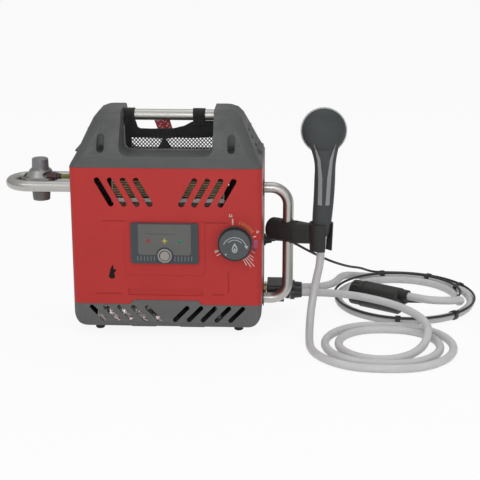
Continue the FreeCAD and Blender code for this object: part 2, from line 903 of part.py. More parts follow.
def make_rail():
    bar = rod((-rail_half, 0, rail_z), (rail_half, 0, rail_z), tube_r)
    return bar.cut(rod((-rail_half - 1, 0, rail_z), (rail_half + 1, 0, rail_z), tube_r - tube_wall))


def bent_tube(points, bend):
    edges, _ = route_edges(points, bend)
    return hollow_pipe(edges, tube_r, tube_wall)


def make_loop():
    x0 = -half_w + tube_inside
    left = loop_x - loop_half
    edges = [
        Part.LineSegment(Vec(x0, -loop_half, loop_z), Vec(loop_x, -loop_half, loop_z)).toShape(),
        Part.Arc(Vec(loop_x, -loop_half, loop_z), Vec(left, 0, loop_z),
                 Vec(loop_x, loop_half, loop_z)).toShape(),
        Part.LineSegment(Vec(loop_x, loop_half, loop_z), Vec(x0, loop_half, loop_z)).toShape(),
    ]
    return hollow_pipe(edges, tube_r, tube_wall)


def make_handle():
    x0 = half_w - tube_inside
    return bent_tube(
        [(x0, 0, handle_z1), (handle_x, 0, handle_z1), (handle_x, 0, handle_z0), (x0, 0, handle_z0)],
        handle_bend,
    )


def make_exchanger():
    bits = []
    for i in range(7):
        z = 236 + i * 4.2
        bits.append(box(-95, 95, -50, 50, z, z + 1.2))
    for x in (-70, -23, 23, 70):
        for y in (-25, 25):
            bits.append(rod((x, y, 232), (x, y, 270), 8))
    bits.append(box(-96.5, -95, -50, 50, 232, 270))
    bits.append(box(95, 96.5, -50, 50, 232, 270))
    return fuse(bits)


def make_chamber():
    box_z0, box_z1 = 100.0, 232.0
    body = box(-90, 90, -45, 45, box_z0, box_z1).cut(box(-88.8, 88.8, -43.8, 43.8, box_z0 - 1, box_z1 + 1))
    flange = box(-98, 98, -52, 52, box_z1 - 7, box_z1).cut(
        box(-88.8, 88.8, -43.8, 43.8, box_z1 - 8, box_z1 + 1)
    )
    legs = []
    for x0, x1 in ((-90, -80), (80, 90)):
        for y0, y1 in ((-45, -43.8), (43.8, 45)):
            legs.append(box(x0, x1, y0, y1, base_z + wall, box_z0 + 5))
    return fuse([body, flange] + legs)


def make_burner():
    bits = [box(-78, 78, -43.8, 43.8, 66, 68)]
    for y in (-27, -9, 9, 27):
        bar = soft_plate(rect(-72, 72, 68, 90), [2, 2, 6, 6], y - 5, y + 5)
        ports = [box(x - 1, x + 1, y - 3, y + 3, 88, 91) for x in range(-64, 65, 8)]
        bits.append(bar.cut(ports))
    bits.append(rod((72, -34, 78), (72, 34, 78), 7))
    return fuse(bits)


def make_shield():
    y0, y1 = front_y + base_edge + 0.5, -60.0
    z0 = base_z + wall
    t = 0.8
    points = [(y0, z0), (y1, z0 + 42), (y1 + t, z0 + 42), (y1 + t, z0 + 41), (y0 + 1.5, z0)]
    return plate_yz(points, -124, -6)


def make_battery():
    z0 = base_z + wall
    y = half_d - base_edge - 1 - 16
    body = slab(75, 16, 4, z0, z0 + 62)
    body.translate(Vec(0, y, 0))
    posts = [rod((x, y, z0 + 62), (x, y, z0 + 68), 4) for x in (-50, 50)]
    return fuse([body] + posts)


def water_pipes():
    front, back = water_lines()
    x0 = half_w - 12
    pipes = []
    for y, x, z in ((front, 138, 262), (back, 118, 244)):
        pipes.append(
            pipe([(x0, y, water_z), (x, y, water_z), (x, y, z), (96.8, y, z)], 5.5, 14)
        )
    return pipes


def gas_pipes():
    y = inner_front + 30
    first = pipe(
        [(-half_w + wall + 12, gas_y, gas_z), (-128, gas_y, gas_z), (-128, y, 214),
         (84, y, 210), (84, y, dial_z), (dial_x - 17.2, y, dial_z)], 3.5, 14,
    )
    second = pipe(
        [(dial_x, y, dial_z - 16.2), (dial_x, y, 100), (dial_x, -20, 78), (79.2, -20, 78)], 3.5, 14
    )
    return [first, second]


def make_couplings():
    front, back = water_lines()
    block = slab(block_half_z, block_half_y, 5, 0, block_x1 - block_x0)
    block.Placement = FreeCAD.Placement(
        Vec(block_x0, water_y, water_z), FreeCAD.Rotation(Vec(0, 0, 1), Vec(1, 0, 0))
    )
    bits = [block]
    for y in (front, back):
        bits.append(rod((block_x1, y, water_z), (conn_x0 - 0.2, y, water_z), spigot_r))
    return fuse(bits)


def make_nipples():
    bits = []
    for y in water_lines():
        stub = rod((half_w - 11.8, y, water_z), (block_x0, y, water_z), nipple_r)
        nut = Part.makeBox(3.5, 15, 15, Vec(half_w + 1.2, y - 7.5, water_z - 7.5))
        bits.append(stub.fuse(nut))
    return Part.makeCompound(bits)


def make_collar(y):
    ring = rod((collar_x0, y, water_z), (collar_x0 + collar_w, y, water_z), collar_r)
    grooves = []
    for i in range(16):
        a = math.radians(i * 22.5)
        p = (collar_x0 - 1, y + math.cos(a) * (collar_r + 0.3), water_z + math.sin(a) * (collar_r + 0.3))
        grooves.append(rod(p, (collar_x0 + collar_w - 2, p[1], p[2]), 1.0))
    return ring.cut(grooves).cut(
        rod((collar_x0 - 2, y, water_z), (collar_x0 + 20, y, water_z), spigot_r + 0.3)
    )


def make_connectors():
    bits = []
    for y in water_lines():
        flange = rod((conn_x0, y, water_z), (conn_x0 + conn_flange_w, y, water_z), conn_flange_r)
        neck = rod((conn_x0 + conn_flange_w, y, water_z), (conn_x1, y, water_z), conn_r + 1.2, conn_r)
        bits.append(flange.fuse(neck))
    return Part.makeCompound(bits)


def make_power_socket():
    x = half_w
    ring = rod((x - wall - 6, power_y, power_z), (x, power_y, power_z), power_r)
    ring = ring.fuse(rod((x, power_y, power_z), (x + 3, power_y, power_z), power_r + 2))
    return ring.cut(rod((x - 4, power_y, power_z), (x + 5, power_y, power_z), 6.0))


def make_cable_plug():
    x = half_w
    pin = rod((x - 4, power_y, power_z), (x + 3, power_y, power_z), 5.7)
    body = rod((x + 3, power_y, power_z), (x + 14, power_y, power_z), 8.0, 6.0)
    tail = rod((x + 14, power_y, power_z), (x + 20, power_y, power_z), 3.6, 3.0)
    return fuse([pin, body, tail])


def make_regulator():
    plate_top = plate_z + plate_t
    shell = fuse([
        rod((reg_x, 0, reg_z0), (reg_x, 0, plate_z), reg_body_r),
        rod((reg_x, 0, plate_top), (reg_x, 0, plate_top + 3.5), reg_cone_r - 3.5),
        rod((reg_x, 0, plate_top + 3.5), (reg_x, 0, reg_cap_z0 - 2), reg_cone_r - 4, reg_cap_r + 4),
        rod((reg_x, 0, reg_cap_z0 - 2), (reg_x, 0, reg_cap_z0), reg_cap_r + 1.5),
        rod((reg_x, 0, plate_z - 1), (reg_x, 0, plate_top + 1), reg_body_r - 6),
    ])
    outlet = rod((elbow_x0, gas_y, gas_z), (reg_x, gas_y + 10, gas_z), elbow_r - 1)
    return shell.fuse(outlet.common(shell)).cut(
        rod((elbow_x0 - 12, gas_y, gas_z), (elbow_x0 + 40, gas_y, gas_z), elbow_r + fit)
    )


def make_reg_cap():
    profile = [
        (0, 0), (0, reg_cap_r), (reg_cap_z1 - reg_cap_z0 - 1.5, reg_cap_r - 0.6),
        (reg_cap_z1 - reg_cap_z0, reg_cap_r - 2.2), (reg_cap_z1 - reg_cap_z0, 0),
    ]
    cap = turned(profile, (reg_x, 0, reg_cap_z0), (0, 0, 1))
    cuts = []
    for i in range(20):
        a = math.radians(i * 18)
        x, y = reg_x + math.cos(a) * (reg_cap_r + 0.35), math.sin(a) * (reg_cap_r + 0.35)
        cuts.append(rod((x, y, reg_cap_z0 + 4), (x, y, reg_cap_z1 - 4), 1.0))
    return cap.cut(cuts)


def make_reg_plate():
    """The stamped carrier, cut to sit between the two runs of the loop."""
    dz = plate_z - loop_z
    half_y = loop_half - math.sqrt(tube_r**2 - dz**2) - 0.25
    wing = 30.5
    outline = [
        (reg_x - wing, -half_y + 12), (reg_x - wing + 11, -half_y), (reg_x + wing - 11, -half_y),
        (reg_x + wing, -half_y + 12), (reg_x + wing, half_y - 12), (reg_x + wing - 11, half_y),
        (reg_x - wing + 11, half_y), (reg_x - wing, half_y - 12),
    ]
    face = Part.Face(polygon([(x, y, plate_z) for x, y in outline]))
    plate = face.extrude(Vec(0, 0, plate_t))
    rim = face.extrude(Vec(0, 0, 6.5))
    inner = [(reg_x + (x - reg_x) * 0.93, y * 0.93) for x, y in outline]
    rim = rim.cut(Part.Face(polygon([(x, y, plate_z - 1) for x, y in inner])).extrude(Vec(0, 0, 9)))
    plate = plate.fuse(rim)
    plate = plate.cut(rod((reg_x, 0, plate_z - 2), (reg_x, 0, plate_z + 5), reg_body_r - 5.9))
    return plate.cut(rod((reg_x, gas_y, gas_z), (reg_x + 60, gas_y, gas_z), elbow_r + plate_clear))


def make_socket():
    body = rod((reg_x, 0, socket_z0), (reg_x, 0, reg_z0), socket_r - 1.6, socket_r)
    mouth = socket_z0 + socket_bore
    body = body.cut([
        rod((reg_x, 0, socket_z0 - 1), (reg_x, 0, mouth), socket_bore_r),
        rod((reg_x, 0, mouth - 1), (reg_x, 0, mouth + 2), socket_bore_r / 2),
    ])
    return body.fuse(rod((reg_x, 0, mouth + 0.5), (reg_x, 0, mouth + 2.2), 2.2))


def make_elbow():
    hexagon = []
    for i in range(6):
        a = math.radians(60 * i)
        hexagon.append((elbow_x0, gas_y + elbow_r * math.cos(a), gas_z + elbow_r * math.sin(a)))
    nut = Part.Face(polygon(hexagon)).extrude(Vec(elbow_x1 - elbow_x0 - 7, 0, 0))
    body = rod((elbow_x0, gas_y, gas_z), (elbow_x1, gas_y, gas_z), elbow_r - 2.2)
    barb = rod((elbow_x1, gas_y, gas_z), (elbow_x1 + 6, gas_y, gas_z), 2.4)
    return fuse([nut, body, barb])


def make_gas_hose():
    x0, x1 = elbow_x1 + 0.2, -half_w + wall + 11.8
    hose = rod((x0, gas_y, gas_z), (x1, gas_y, gas_z), gas_hose_r)
    return hose.cut(rod((x0 - 1, gas_y, gas_z), (x0 + 7, gas_y, gas_z), 2.4 + fit))


def make_liner():
    z0 = clamp_z - liner_h / 2
    ring = rod((handle_x, 0, z0), (handle_x, 0, z0 + liner_h), liner_r)
    return ring.cut(rod((handle_x, 0, z0 - 1), (handle_x, 0, z0 + liner_h + 1), tube_r + fit))


def swing(shape):
    """Turn a piece that was made along +X from the handle tube to the arm's resting place."""
    shape.rotate(Vec(handle_x, 0, 0), Vec(0, 0, 1), arm_turn)
    return shape


def make_holder():
    x0, x1 = handle_x - clamp_back, handle_x + clamp_front
    cup_at = handle_x + arm_reach
    barrel = rod((x0, 0, clamp_z), (x1, 0, clamp_z), clamp_r)
    near = round_wire(rect(-17, 17, clamp_z - 19.5, clamp_z + 18.5), [10] * 4,
                      lambda y, z: Vec(x1 - 6, y, z))
    far = round_wire(rect(-11, 11, cup_z0 + 9, cup_z1 - 5), [8] * 4,
                     lambda y, z: Vec(cup_at - cup_r + 7, y, z))
    arm = Part.makeLoft([near, far], True, True)
    cup = rod((cup_at, 0, cup_z0), (cup_at, 0, cup_z1), cup_r - 1.5, cup_r)
    body = fuse([barrel, arm, cup])
    body = body.cut(rod((cup_at, 0, cup_z0), (cup_at, 0, cup_z1), cup_bore0, cup_bore1))
    slot = box(0, cup_r + 10, -cup_slot / 2, cup_slot / 2, cup_z0 - 5, cup_z1 + 5)
    slot.rotate(Vec(0, 0, 0), Vec(0, 0, 1), cup_slot_deg)
    slot.translate(Vec(cup_at, 0, 0))
    seat = liner_h / 2 + lip_fit
    liner = rod((handle_x, 0, clamp_z - seat), (handle_x, 0, clamp_z + seat), liner_r + lip_fit)
    tube = rod((handle_x, 0, clamp_z - 40), (handle_x, 0, clamp_z + 40), tube_r + 0.6)
    return swing(body.cut([slot, liner, tube]))


def make_knob():
    start = clamp_back + knob_gap
    length = knob_reach - start
    profile = [(0, 0), (0, clamp_r), (length - knob_round, clamp_r)]
    steps = 5
    for i in range(1, steps + 1):
        a = math.radians(90 * i / steps)
        profile.append((length - knob_round + knob_round * math.sin(a),
                        clamp_r - knob_round + knob_round * math.cos(a)))
    profile.append((length, 0))
    knob = turned(profile, (handle_x - start, 0, clamp_z), (-1, 0, 0))
    cuts = []
    for i in range(12):
        a = math.radians(i * 30 + 15)
        y, z = math.cos(a) * (clamp_r + 1.6), clamp_z + math.sin(a) * (clamp_r + 1.6)
        cuts.append(rod((handle_x - knob_reach - 1, y, z), (handle_x - start - 4, y, z), 2.6))
    return swing(knob.cut(cuts))


def ellipse_wire(x, y, z, rx, ry):
    if rx >= ry:
        curve = Part.Ellipse(Vec(x, y, z), rx, ry)
        return Part.Wire([curve.toShape()])
    curve = Part.Ellipse(Vec(x, y, z), ry, rx)
    edge = curve.toShape()
    edge.rotate(Vec(x, y, z), Vec(0, 0, 1), 90)
    return Part.Wire([edge])


# Height, offset from the cup's axis in X and Y, half width and half depth of the grip.
handle_sections = (
    (nut_z1, 0.3, 0.0, 13.0, 13.0),
    (cup_z1, 0.8, 0.0, 16.3, 15.8),
    (230.0, 3.4, 0.0, 17.5, 15.0),
    (270.0, 4.6, 0.0, 17.8, 14.0),
    (295.0, 4.6, 0.0, 18.4, 12.5),
    (313.0, 3.6, 0.5, 22.0, 12.0),
    (331.0, 2.2, 0.5, 26.5, 10.5),
)


def handle_form(grow):
    wires = [
        ellipse_wire(cup_x + dx, cup_y + dy, z, rx + grow, ry + grow)
        for z, dx, dy, rx, ry in handle_sections
    ]
    return Part.makeLoft(wires, True, False)


def tilt_head(shape):
    """The spray face looks to the back and a little down."""
    shape.rotate(Vec(head_x, cup_y, head_z), Vec(1, 0, 0), -head_tilt)
    return shape


def handset_form(grow):
    """The grip and the domed back of the head in one."""
    dome = []
    depth = 21.0
    steps = 8
    for i in range(steps + 1):
        a = math.radians(90 * i / steps)
        dome.append(((depth + grow) * math.sin(a), (head_r + grow) * math.cos(a)))
    profile = [(-5.0, 0), (-5.0, head_r + grow)] + dome
    head = turned(profile, (head_x, cup_y + 3.0, head_z), (0, -1, 0))
    return handle_form(grow).fuse(tilt_head(head))


def make_handset():
    return handset_form(0).removeSplitter().cut(make_spray_face())


def make_spray_face():
    y0 = cup_y + 8.0
    disc = turned(
        [(0, 0), (0, face_r - 1.5), (1.5, face_r), (face_t - 1.5, face_r), (face_t, face_r - 2.0),
         (face_t, 0)],
        (head_x, y0, head_z), (0, 1, 0),
    )
    bits = []
    for count, ring in ((1, 0), (6, 10), (12, 20), (18, 30)):
        for i in range(count):
            a = 2 * math.pi * i / count
            x, z = head_x + ring * math.cos(a), head_z + ring * math.sin(a)
            bits.append(Part.makeBox(2.4, 1.6, 2.4, Vec(x - 1.2, y0 + face_t, z - 1.2)))
    return tilt_head(disc.fuse(bits))


def make_inlays():
    skin = handset_form(inlay_gap + inlay_t).cut(handset_form(inlay_gap))
    middle = cup_x + 4.2
    strips = []
    for side in (-1, 1):
        outline = [
            (middle - 1 + side * 3.0, 223), (middle - 1 + side * 10.0, 223),
            (middle + side * 11.0, 270), (middle + side * 13.0, 300),
            (middle - 1 + side * 19.5, 332), (middle + side * 8.0, 302),
            (middle + side * 4.2, 270),
        ]
        strips.append(skin.common(plate_xz(outline, cup_y - 30, cup_y - 6)))
    return Part.makeCompound([s for strip in strips for s in strip.Solids])


def make_nut():
    return rod((cup_x, cup_y, cup_z0 + nut_lift), (cup_x, cup_y, nut_z1), nut_r0, nut_r1)


# Pouch on the carry rail.
band_t = 2.4
band_y = -3.0
band_end = 77.3
band_loops = ((-78.4, -60.0), (40.8, 61.8))
net_z1 = 330.0
net_x0 = -68.4
net_x1 = 69.0
net_t = 1.0
net_gap = 1.6
strap_w = (11.5, 8.5)


def saddle_z(y):
    """Height of the hand opening's floor at a depth."""
    share = (y - saddle_bend_y) / (saddle_back_y - saddle_bend_y)
    return saddle_floor + (saddle_back_z - saddle_floor) * share


def pouch_low(x):
    """Lowest height a gap away from the opening's floor and its rounded corners."""
    floor = saddle_z(band_y) + net_gap
    into = abs(x) - (saddle_half - saddle_corner)
    r = saddle_corner - net_gap
    if into <= 0:
        return floor
    return floor + r - math.sqrt(max(0.0, r * r - into * into))


def make_band():
    low = [(x, pouch_low(x)) for x in (-76.5, -74.5, -71.5, net_x0 - 0.3)]
    high = [(x, pouch_low(x)) for x in (net_x1 + 0.3, 71.5, 74.5, 76.5)]
    outline = [(-band_end, 345), (-band_end, 324)] + low + [(net_x0 - 0.3, net_z1 - 1)]
    outline += [(net_x1 + 0.3, net_z1 - 1)] + high + [(band_end, 324), (band_end, 357.5)]
    outline += [(61.8, 358), (40.8, 358), (22.7, 349.5), (5.6, 345.6), (-30, 344.8), (-50, 345.5),
                (-54, 350), (-60.0, 358), (-76, 358)]
    body = plate_xz(outline, band_y - band_t / 2, band_y + band_t / 2)
    loops = []
    for x0, x1 in band_loops:
        ring = rod((x0, 0, rail_z), (x1, 0, rail_z), tube_r + 0.3 + band_t)
        ring = ring.cut(rod((x0 - 1, 0, rail_z), (x1 + 1, 0, rail_z), tube_r + 0.3))
        tail = box(x0, x1, band_y - band_t / 2, band_y + band_t / 2, 350, rail_z - tube_r - 1.0)
        loops.append(ring.fuse(tail))
    return fuse([body] + loops)


def make_net():
    y0 = band_y - net_t / 2
    pitch_x, pitch_z = 6.0, 4.6
    half_x, half_z = 2.35, 1.8
    top = net_z1 - 1.3
    low = saddle_z(band_y) + net_gap
    outer = polygon([
        (-saddle_half + saddle_corner, y0, low), (saddle_half - saddle_corner, y0, low),
        (net_x1, y0, pouch_low(net_x1)), (net_x1, y0, top), (net_x0, y0, top),
        (net_x0, y0, pouch_low(net_x0)),
    ])
    holes = []
    for row in range(int((top - low - 4) / (pitch_z / 2))):
        z = low + 3.2 + row * pitch_z / 2
        edge = 3.8
        x = net_x0 + (pitch_x / 2 if row % 2 else 0)
        while x < net_x1 - edge:
            if x > net_x0 + edge:
                holes.append(polygon([(x - half_x, y0, z), (x, y0, z - half_z),
                                      (x + half_x, y0, z), (x, y0, z + half_z)]))
            x += pitch_x
    print("net gaps:", len(holes))
    face = Part.Face([outer] + holes)
    face.validate()
    return face.extrude(Vec(0, net_t, 0))


def make_lanyard():
    """Two flat red straps that cross behind the rail and go down to the pouch."""
    y0 = band_y + band_t / 2 + 0.3
    top = rail_z - tube_r - 0.3
    straps = []
    for k, (xa, xb) in enumerate(((-21.0, -11.0), (-3.0, 2.5))):
        y = y0 + k * 2.0
        w = strap_w[k]
        straps.append(
            plate_xz([(xa - w / 2, top), (xb - w / 2, 334), (xb + w / 2, 334), (xa + w / 2, top)], y, y + 1.5)
        )
    return Part.makeCompound(straps)


# Hoses, cable and pump.
floor_z = hose_r + floor_gap


def quarter(start, along, side, r):
    """A quarter circle from start, first heading along, ending heading side."""
    a = Vec(*start)
    centre = a + side * r
    mid = centre + (along - side) * (r / math.sqrt(2))
    end = centre + along * r
    return Part.Arc(a, mid, end).toShape(), end


def least_gap(name, edges, r, step=3.0):
    """The least distance between stretches of one tube, measured on points."""
    points = []
    travelled = 0.0
    for edge in edges:
        count = max(2, int(edge.Length / step))
        for i in range(count):
            p = edge.valueAt(edge.getParameterByLength(edge.Length * i / count))
            points.append((travelled + edge.Length * i / count, p))
        travelled += edge.Length
    least = 1e9
    for i in range(len(points)):
        for j in range(i + 1, len(points)):
            if points[j][0] - points[i][0] > 8 * r:
                least = min(least, (points[j][1] - points[i][1]).Length - 2 * r)
    print(f"{name}: {travelled:.0f} mm of tube, least gap to itself {least:.2f} mm")


shower_x = 245.0
shower_y = -143.5
shower_halves = (120.0, 107.0, 96.0, 84.5)
shower_flat = 0.88
shower_tilt = 12.0
last_r = 67.0
last_rise_r = 80.0


def make_shower_coil():
    x, y, z = shower_x, shower_y, floor_z
    lead = 2 * hose_r
    edges = [Part.LineSegment(Vec(x, y + lead, z), Vec(x, y, z)).toShape()]
    down = True
    for half in shower_halves:
        way = 1 if down else -1
        r = half * shower_flat
        ahead, across = Vec(0, -way, 0), Vec(way, 0, 0)
        first, at = quarter((x, y, z), ahead, across, r)
        to = at + across * (2 * (half - r))
        second, end = quarter(tuple(to), across, -ahead, r)
        edges += [first, Part.LineSegment(at, to).toShape(), second]
        x = end.x
        down = not down
    flat, front = quarter((x, y, z), Vec(0, -1, 0), Vec(1, 0, 0), last_r)
    edges.append(flat)
    rise = math.radians(shower_tilt)
    climb = Vec(0, math.cos(rise), math.sin(rise))
    up, end = quarter(tuple(front), Vec(1, 0, 0), climb, last_rise_r)
    edges.append(up)
    edges.append(Part.LineSegment(end, end + climb * lead).toShape())
    least_gap("shower_hose_coil", edges, hose_r)
    body, length = sweep(edges, hose_r)
    print(f"shower_hose_coil volume share {body.Volume / (math.pi * hose_r**2 * length):.4f}")
    return body, end + climb * lead, climb


pump_coil_x = 419.0
pump_coil_back = 231.0
pump_coil_lead = 21.0
pump_radii = (127.0, 118.0, 102.0)
tail_out = 14.0

cable_off = 7.2
cable_z = 14.0
cable_tilt = 1.0
cable_lead_in = 21.0
cable_last_r = 71.0
cable_end_x = 424.0

pump_end = Vec(412.0, 32.0, pump_r + floor_gap)
spigot_rise = 13.0
pump_axis = Vec(-0.84, 0.5426, 0)
pump_axis.normalize()


def make_pump_coil():
    x, y, z = pump_coil_x, pump_coil_back, floor_z
    big, mid_r, small = pump_radii
    edges = [
        Part.LineSegment(Vec(x - pump_coil_lead, y, z), Vec(x, y, z)).toShape(),
        Part.Arc(Vec(x, y, z), Vec(x + big, y - big, z), Vec(x, y - 2 * big, z)).toShape(),
    ]
    front = y - 2 * big
    back = front + 2 * mid_r
    edges.append(
        Part.Arc(Vec(x, front, z), Vec(x - mid_r, front + mid_r, z), Vec(x, back, z)).toShape()
    )
    last, end = quarter((x, back, z), Vec(1, 0, 0), Vec(0, -1, 0), small)
    edges.append(last)
    tip = end + Vec(0, -tail_out, 0)
    edges.append(Part.LineSegment(end, tip).toShape())
    least_gap("pump_hose_coil", edges, hose_r)
    return sweep(edges, hose_r)[0], tip


def make_cable_coil():
    x, y, z = pump_coil_x, pump_coil_back + cable_off, cable_z
    big, mid_r, small = (r + cable_off for r in pump_radii)
    edges = [
        Part.LineSegment(Vec(x - cable_lead_in, y, z), Vec(x, y, z)).toShape(),
        Part.Arc(Vec(x, y, z), Vec(x + big, y - big, z), Vec(x, y - 2 * big, z)).toShape(),
    ]
    rise = math.radians(cable_tilt)
    climb = Vec(0, math.cos(rise), math.sin(rise))
    front = Vec(x, y - 2 * big, z)
    back = front + climb * (2 * mid_r)
    edges.append(Part.Arc(front, front + climb * mid_r - Vec(mid_r, 0, 0), back).toShape())
    drop = Vec(0, -math.cos(rise), math.sin(rise))
    turn, end = quarter(tuple(back), Vec(1, 0, 0), drop, small)
    edges.append(turn)
    turn, end = quarter(tuple(end), drop, Vec(-1, 0, 0), cable_last_r)
    edges.append(turn)
    tip = Vec(cable_end_x, end.y, end.z)
    edges.append(Part.LineSegment(end, tip).toShape())
    least_gap("cable_coil", edges, cable_r)
    return sweep(edges, cable_r)[0], tip


def make_shower_drop():
    return cord("shower_hose_drop", [
        (cup_x, cup_y, cup_z0 - joint_gap + nut_lift), (cup_x, cup_y, 116), (255, -36, 80),
        (249, -47, 42), (246, -68, 17), (shower_x, -100, floor_z),
        (shower_x, shower_y + 2 * hose_r, floor_z),
    ], hose_r)


def make_shower_lead(start, along):
    near = start + along * 24
    return cord("shower_hose_lead", [
        tuple(start), tuple(near), (430, -68, 36), (398, -32, 39.5), (356, -6, 42),
        (312, 14, 43), (262, water_lines()[0], water_z), (conn_x1, water_lines()[0], water_z),
    ], hose_r)


def make_pump_lead():
    return cord("pump_hose_lead", [
        (conn_x1, water_lines()[1], water_z), (259, water_lines()[1], water_z), (282, 67.5, 42),
        (296, 92, 40.5), (305, 138, 35), (316, 178, 26), (333, 212, 15.5),
        (pump_coil_x - pump_coil_lead - 34, pump_coil_back, floor_z),
        (pump_coil_x - pump_coil_lead, pump_coil_back, floor_z),
    ], hose_r)


def make_pump_tail(start):
    end = pump_end - pump_axis * pump_collar + Vec(0, 0, spigot_rise)
    last = end - pump_axis * 26
    body = cord("pump_hose_tail", [
        tuple(start), (start.x, start.y - 23, start.z), (start.x, 28.9, 31), (498.4, 2.9, 37),
        (464.4, -1.8, 39), tuple(last), tuple(end),
    ], hose_r)
    return body, end


def make_cable_lead():
    y = pump_coil_back + cable_off
    x = pump_coil_x - cable_lead_in
    return cord("cable_lead", [
        (half_w + 20, power_y, power_z), (207, power_y, power_z), (240, 70, 108),
        (284, 100, 78), (322, 150, 52), (345, 190, 38), (362, 224, 22), (x - 20, y, cable_z),
        (x, y, cable_z),
    ], cable_r)


def pump_at():
    """Points along the pump's middle: its end, the strainer and the tip."""
    return [pump_end + pump_axis * r for r in (0, pump_len, pump_len + strainer_len)]


def make_pump(hose_end, cable_tip):
    cap, far, _ = pump_at()
    shoulder = cap + pump_axis * 3
    bits = [
        rod(tuple(hose_end), tuple(hose_end + pump_axis * (pump_collar + 6)), pump_collar_r),
        rod(tuple(cap), tuple(shoulder), pump_r - 3, pump_r),
        rod(tuple(shoulder), tuple(far), pump_r),
        rod((cable_tip.x, cable_tip.y, cable_tip.z), (cable_tip.x - 20, cable_tip.y, cable_tip.z), 3.6),
    ]
    body = fuse(bits)
    groove = far - pump_axis * 6
    ring = rod(tuple(groove), tuple(groove + pump_axis * 2), pump_r + 1)
    return body.cut(ring.cut(rod(tuple(groove), tuple(groove + pump_axis * 2), pump_r - 0.8)))


def make_strainer():
    _, far, end = pump_at()
    cup = rod(tuple(far), tuple(end), strainer_r)
    cup = cup.cut(rod(tuple(far + pump_axis * 3), tuple(end - pump_axis * 2), strainer_r - 2))
    cuts = []
    side = pump_axis.cross(Vec(0, 0, 1))
    side.normalize()
    up = side.cross(pump_axis)
    for i in range(16):
        a = math.radians(i * 22.5)
        out = side * math.cos(a) + up * math.sin(a)
        base = far + pump_axis * 5
        along = pump_axis * (strainer_len - 9)
        cuts.append(rod(tuple(base + out * (strainer_r - 1)), tuple(base + along + out * (strainer_r - 1)), 1.3))
    return cup.cut(cuts)


def clip(centre, tangent, out):
    """A band round the hose with a smaller loop for the cable."""
    half = tangent * 4.5
    cable = centre + out
    ring = rod(tuple(centre - half), tuple(centre + half), hose_r + 1.7)
    loop = rod(tuple(cable - half), tuple(cable + half), cable_r + 1.5)
    both = ring.fuse(loop)
    return both.cut([
        box(centre.x - 30, centre.x + 30, centre.y - 30, centre.y + 30, -5, floor_gap),
        rod(tuple(centre - tangent * 9), tuple(centre + tangent * 9), hose_r + 0.2),
        rod(tuple(cable - tangent * 9), tuple(cable + tangent * 9), cable_r + 0.2),
    ])


def make_clips():
    big, mid_r, _ = pump_radii
    lift = Vec(0, 0, cable_z - floor_z)
    bits = [clip(Vec(pump_coil_x - 27.5, pump_coil_back, floor_z), Vec(1, 0, 0),
                 Vec(0, cable_off, 0) + lift)]
    for deg in (62, 28, -48):
        a = math.radians(deg)
        out = Vec(math.cos(a), math.sin(a), 0)
        centre = Vec(pump_coil_x, pump_coil_back - big, floor_z) + out * big
        bits.append(clip(centre, Vec(-out.y, out.x, 0), out * cable_off + lift))
    a = math.radians(262)
    out = Vec(math.cos(a), math.sin(a), 0)
    centre = Vec(pump_coil_x, pump_coil_back - 2 * big + mid_r, floor_z) + out * mid_r
    rise = math.radians(cable_tilt)
    front_end = pump_coil_back - 2 * big - cable_off
    mid = Vec(pump_coil_x, front_end + mid_r + cable_off, cable_z)
    cable = mid + Vec(out.x, out.y * math.cos(rise), 0) * (mid_r + cable_off)
    cable.z = cable_z + (cable.y - front_end) * math.sin(rise)
    bits.append(clip(centre, Vec(-out.y, out.x, 0), cable - centre))
    return Part.makeCompound(bits)


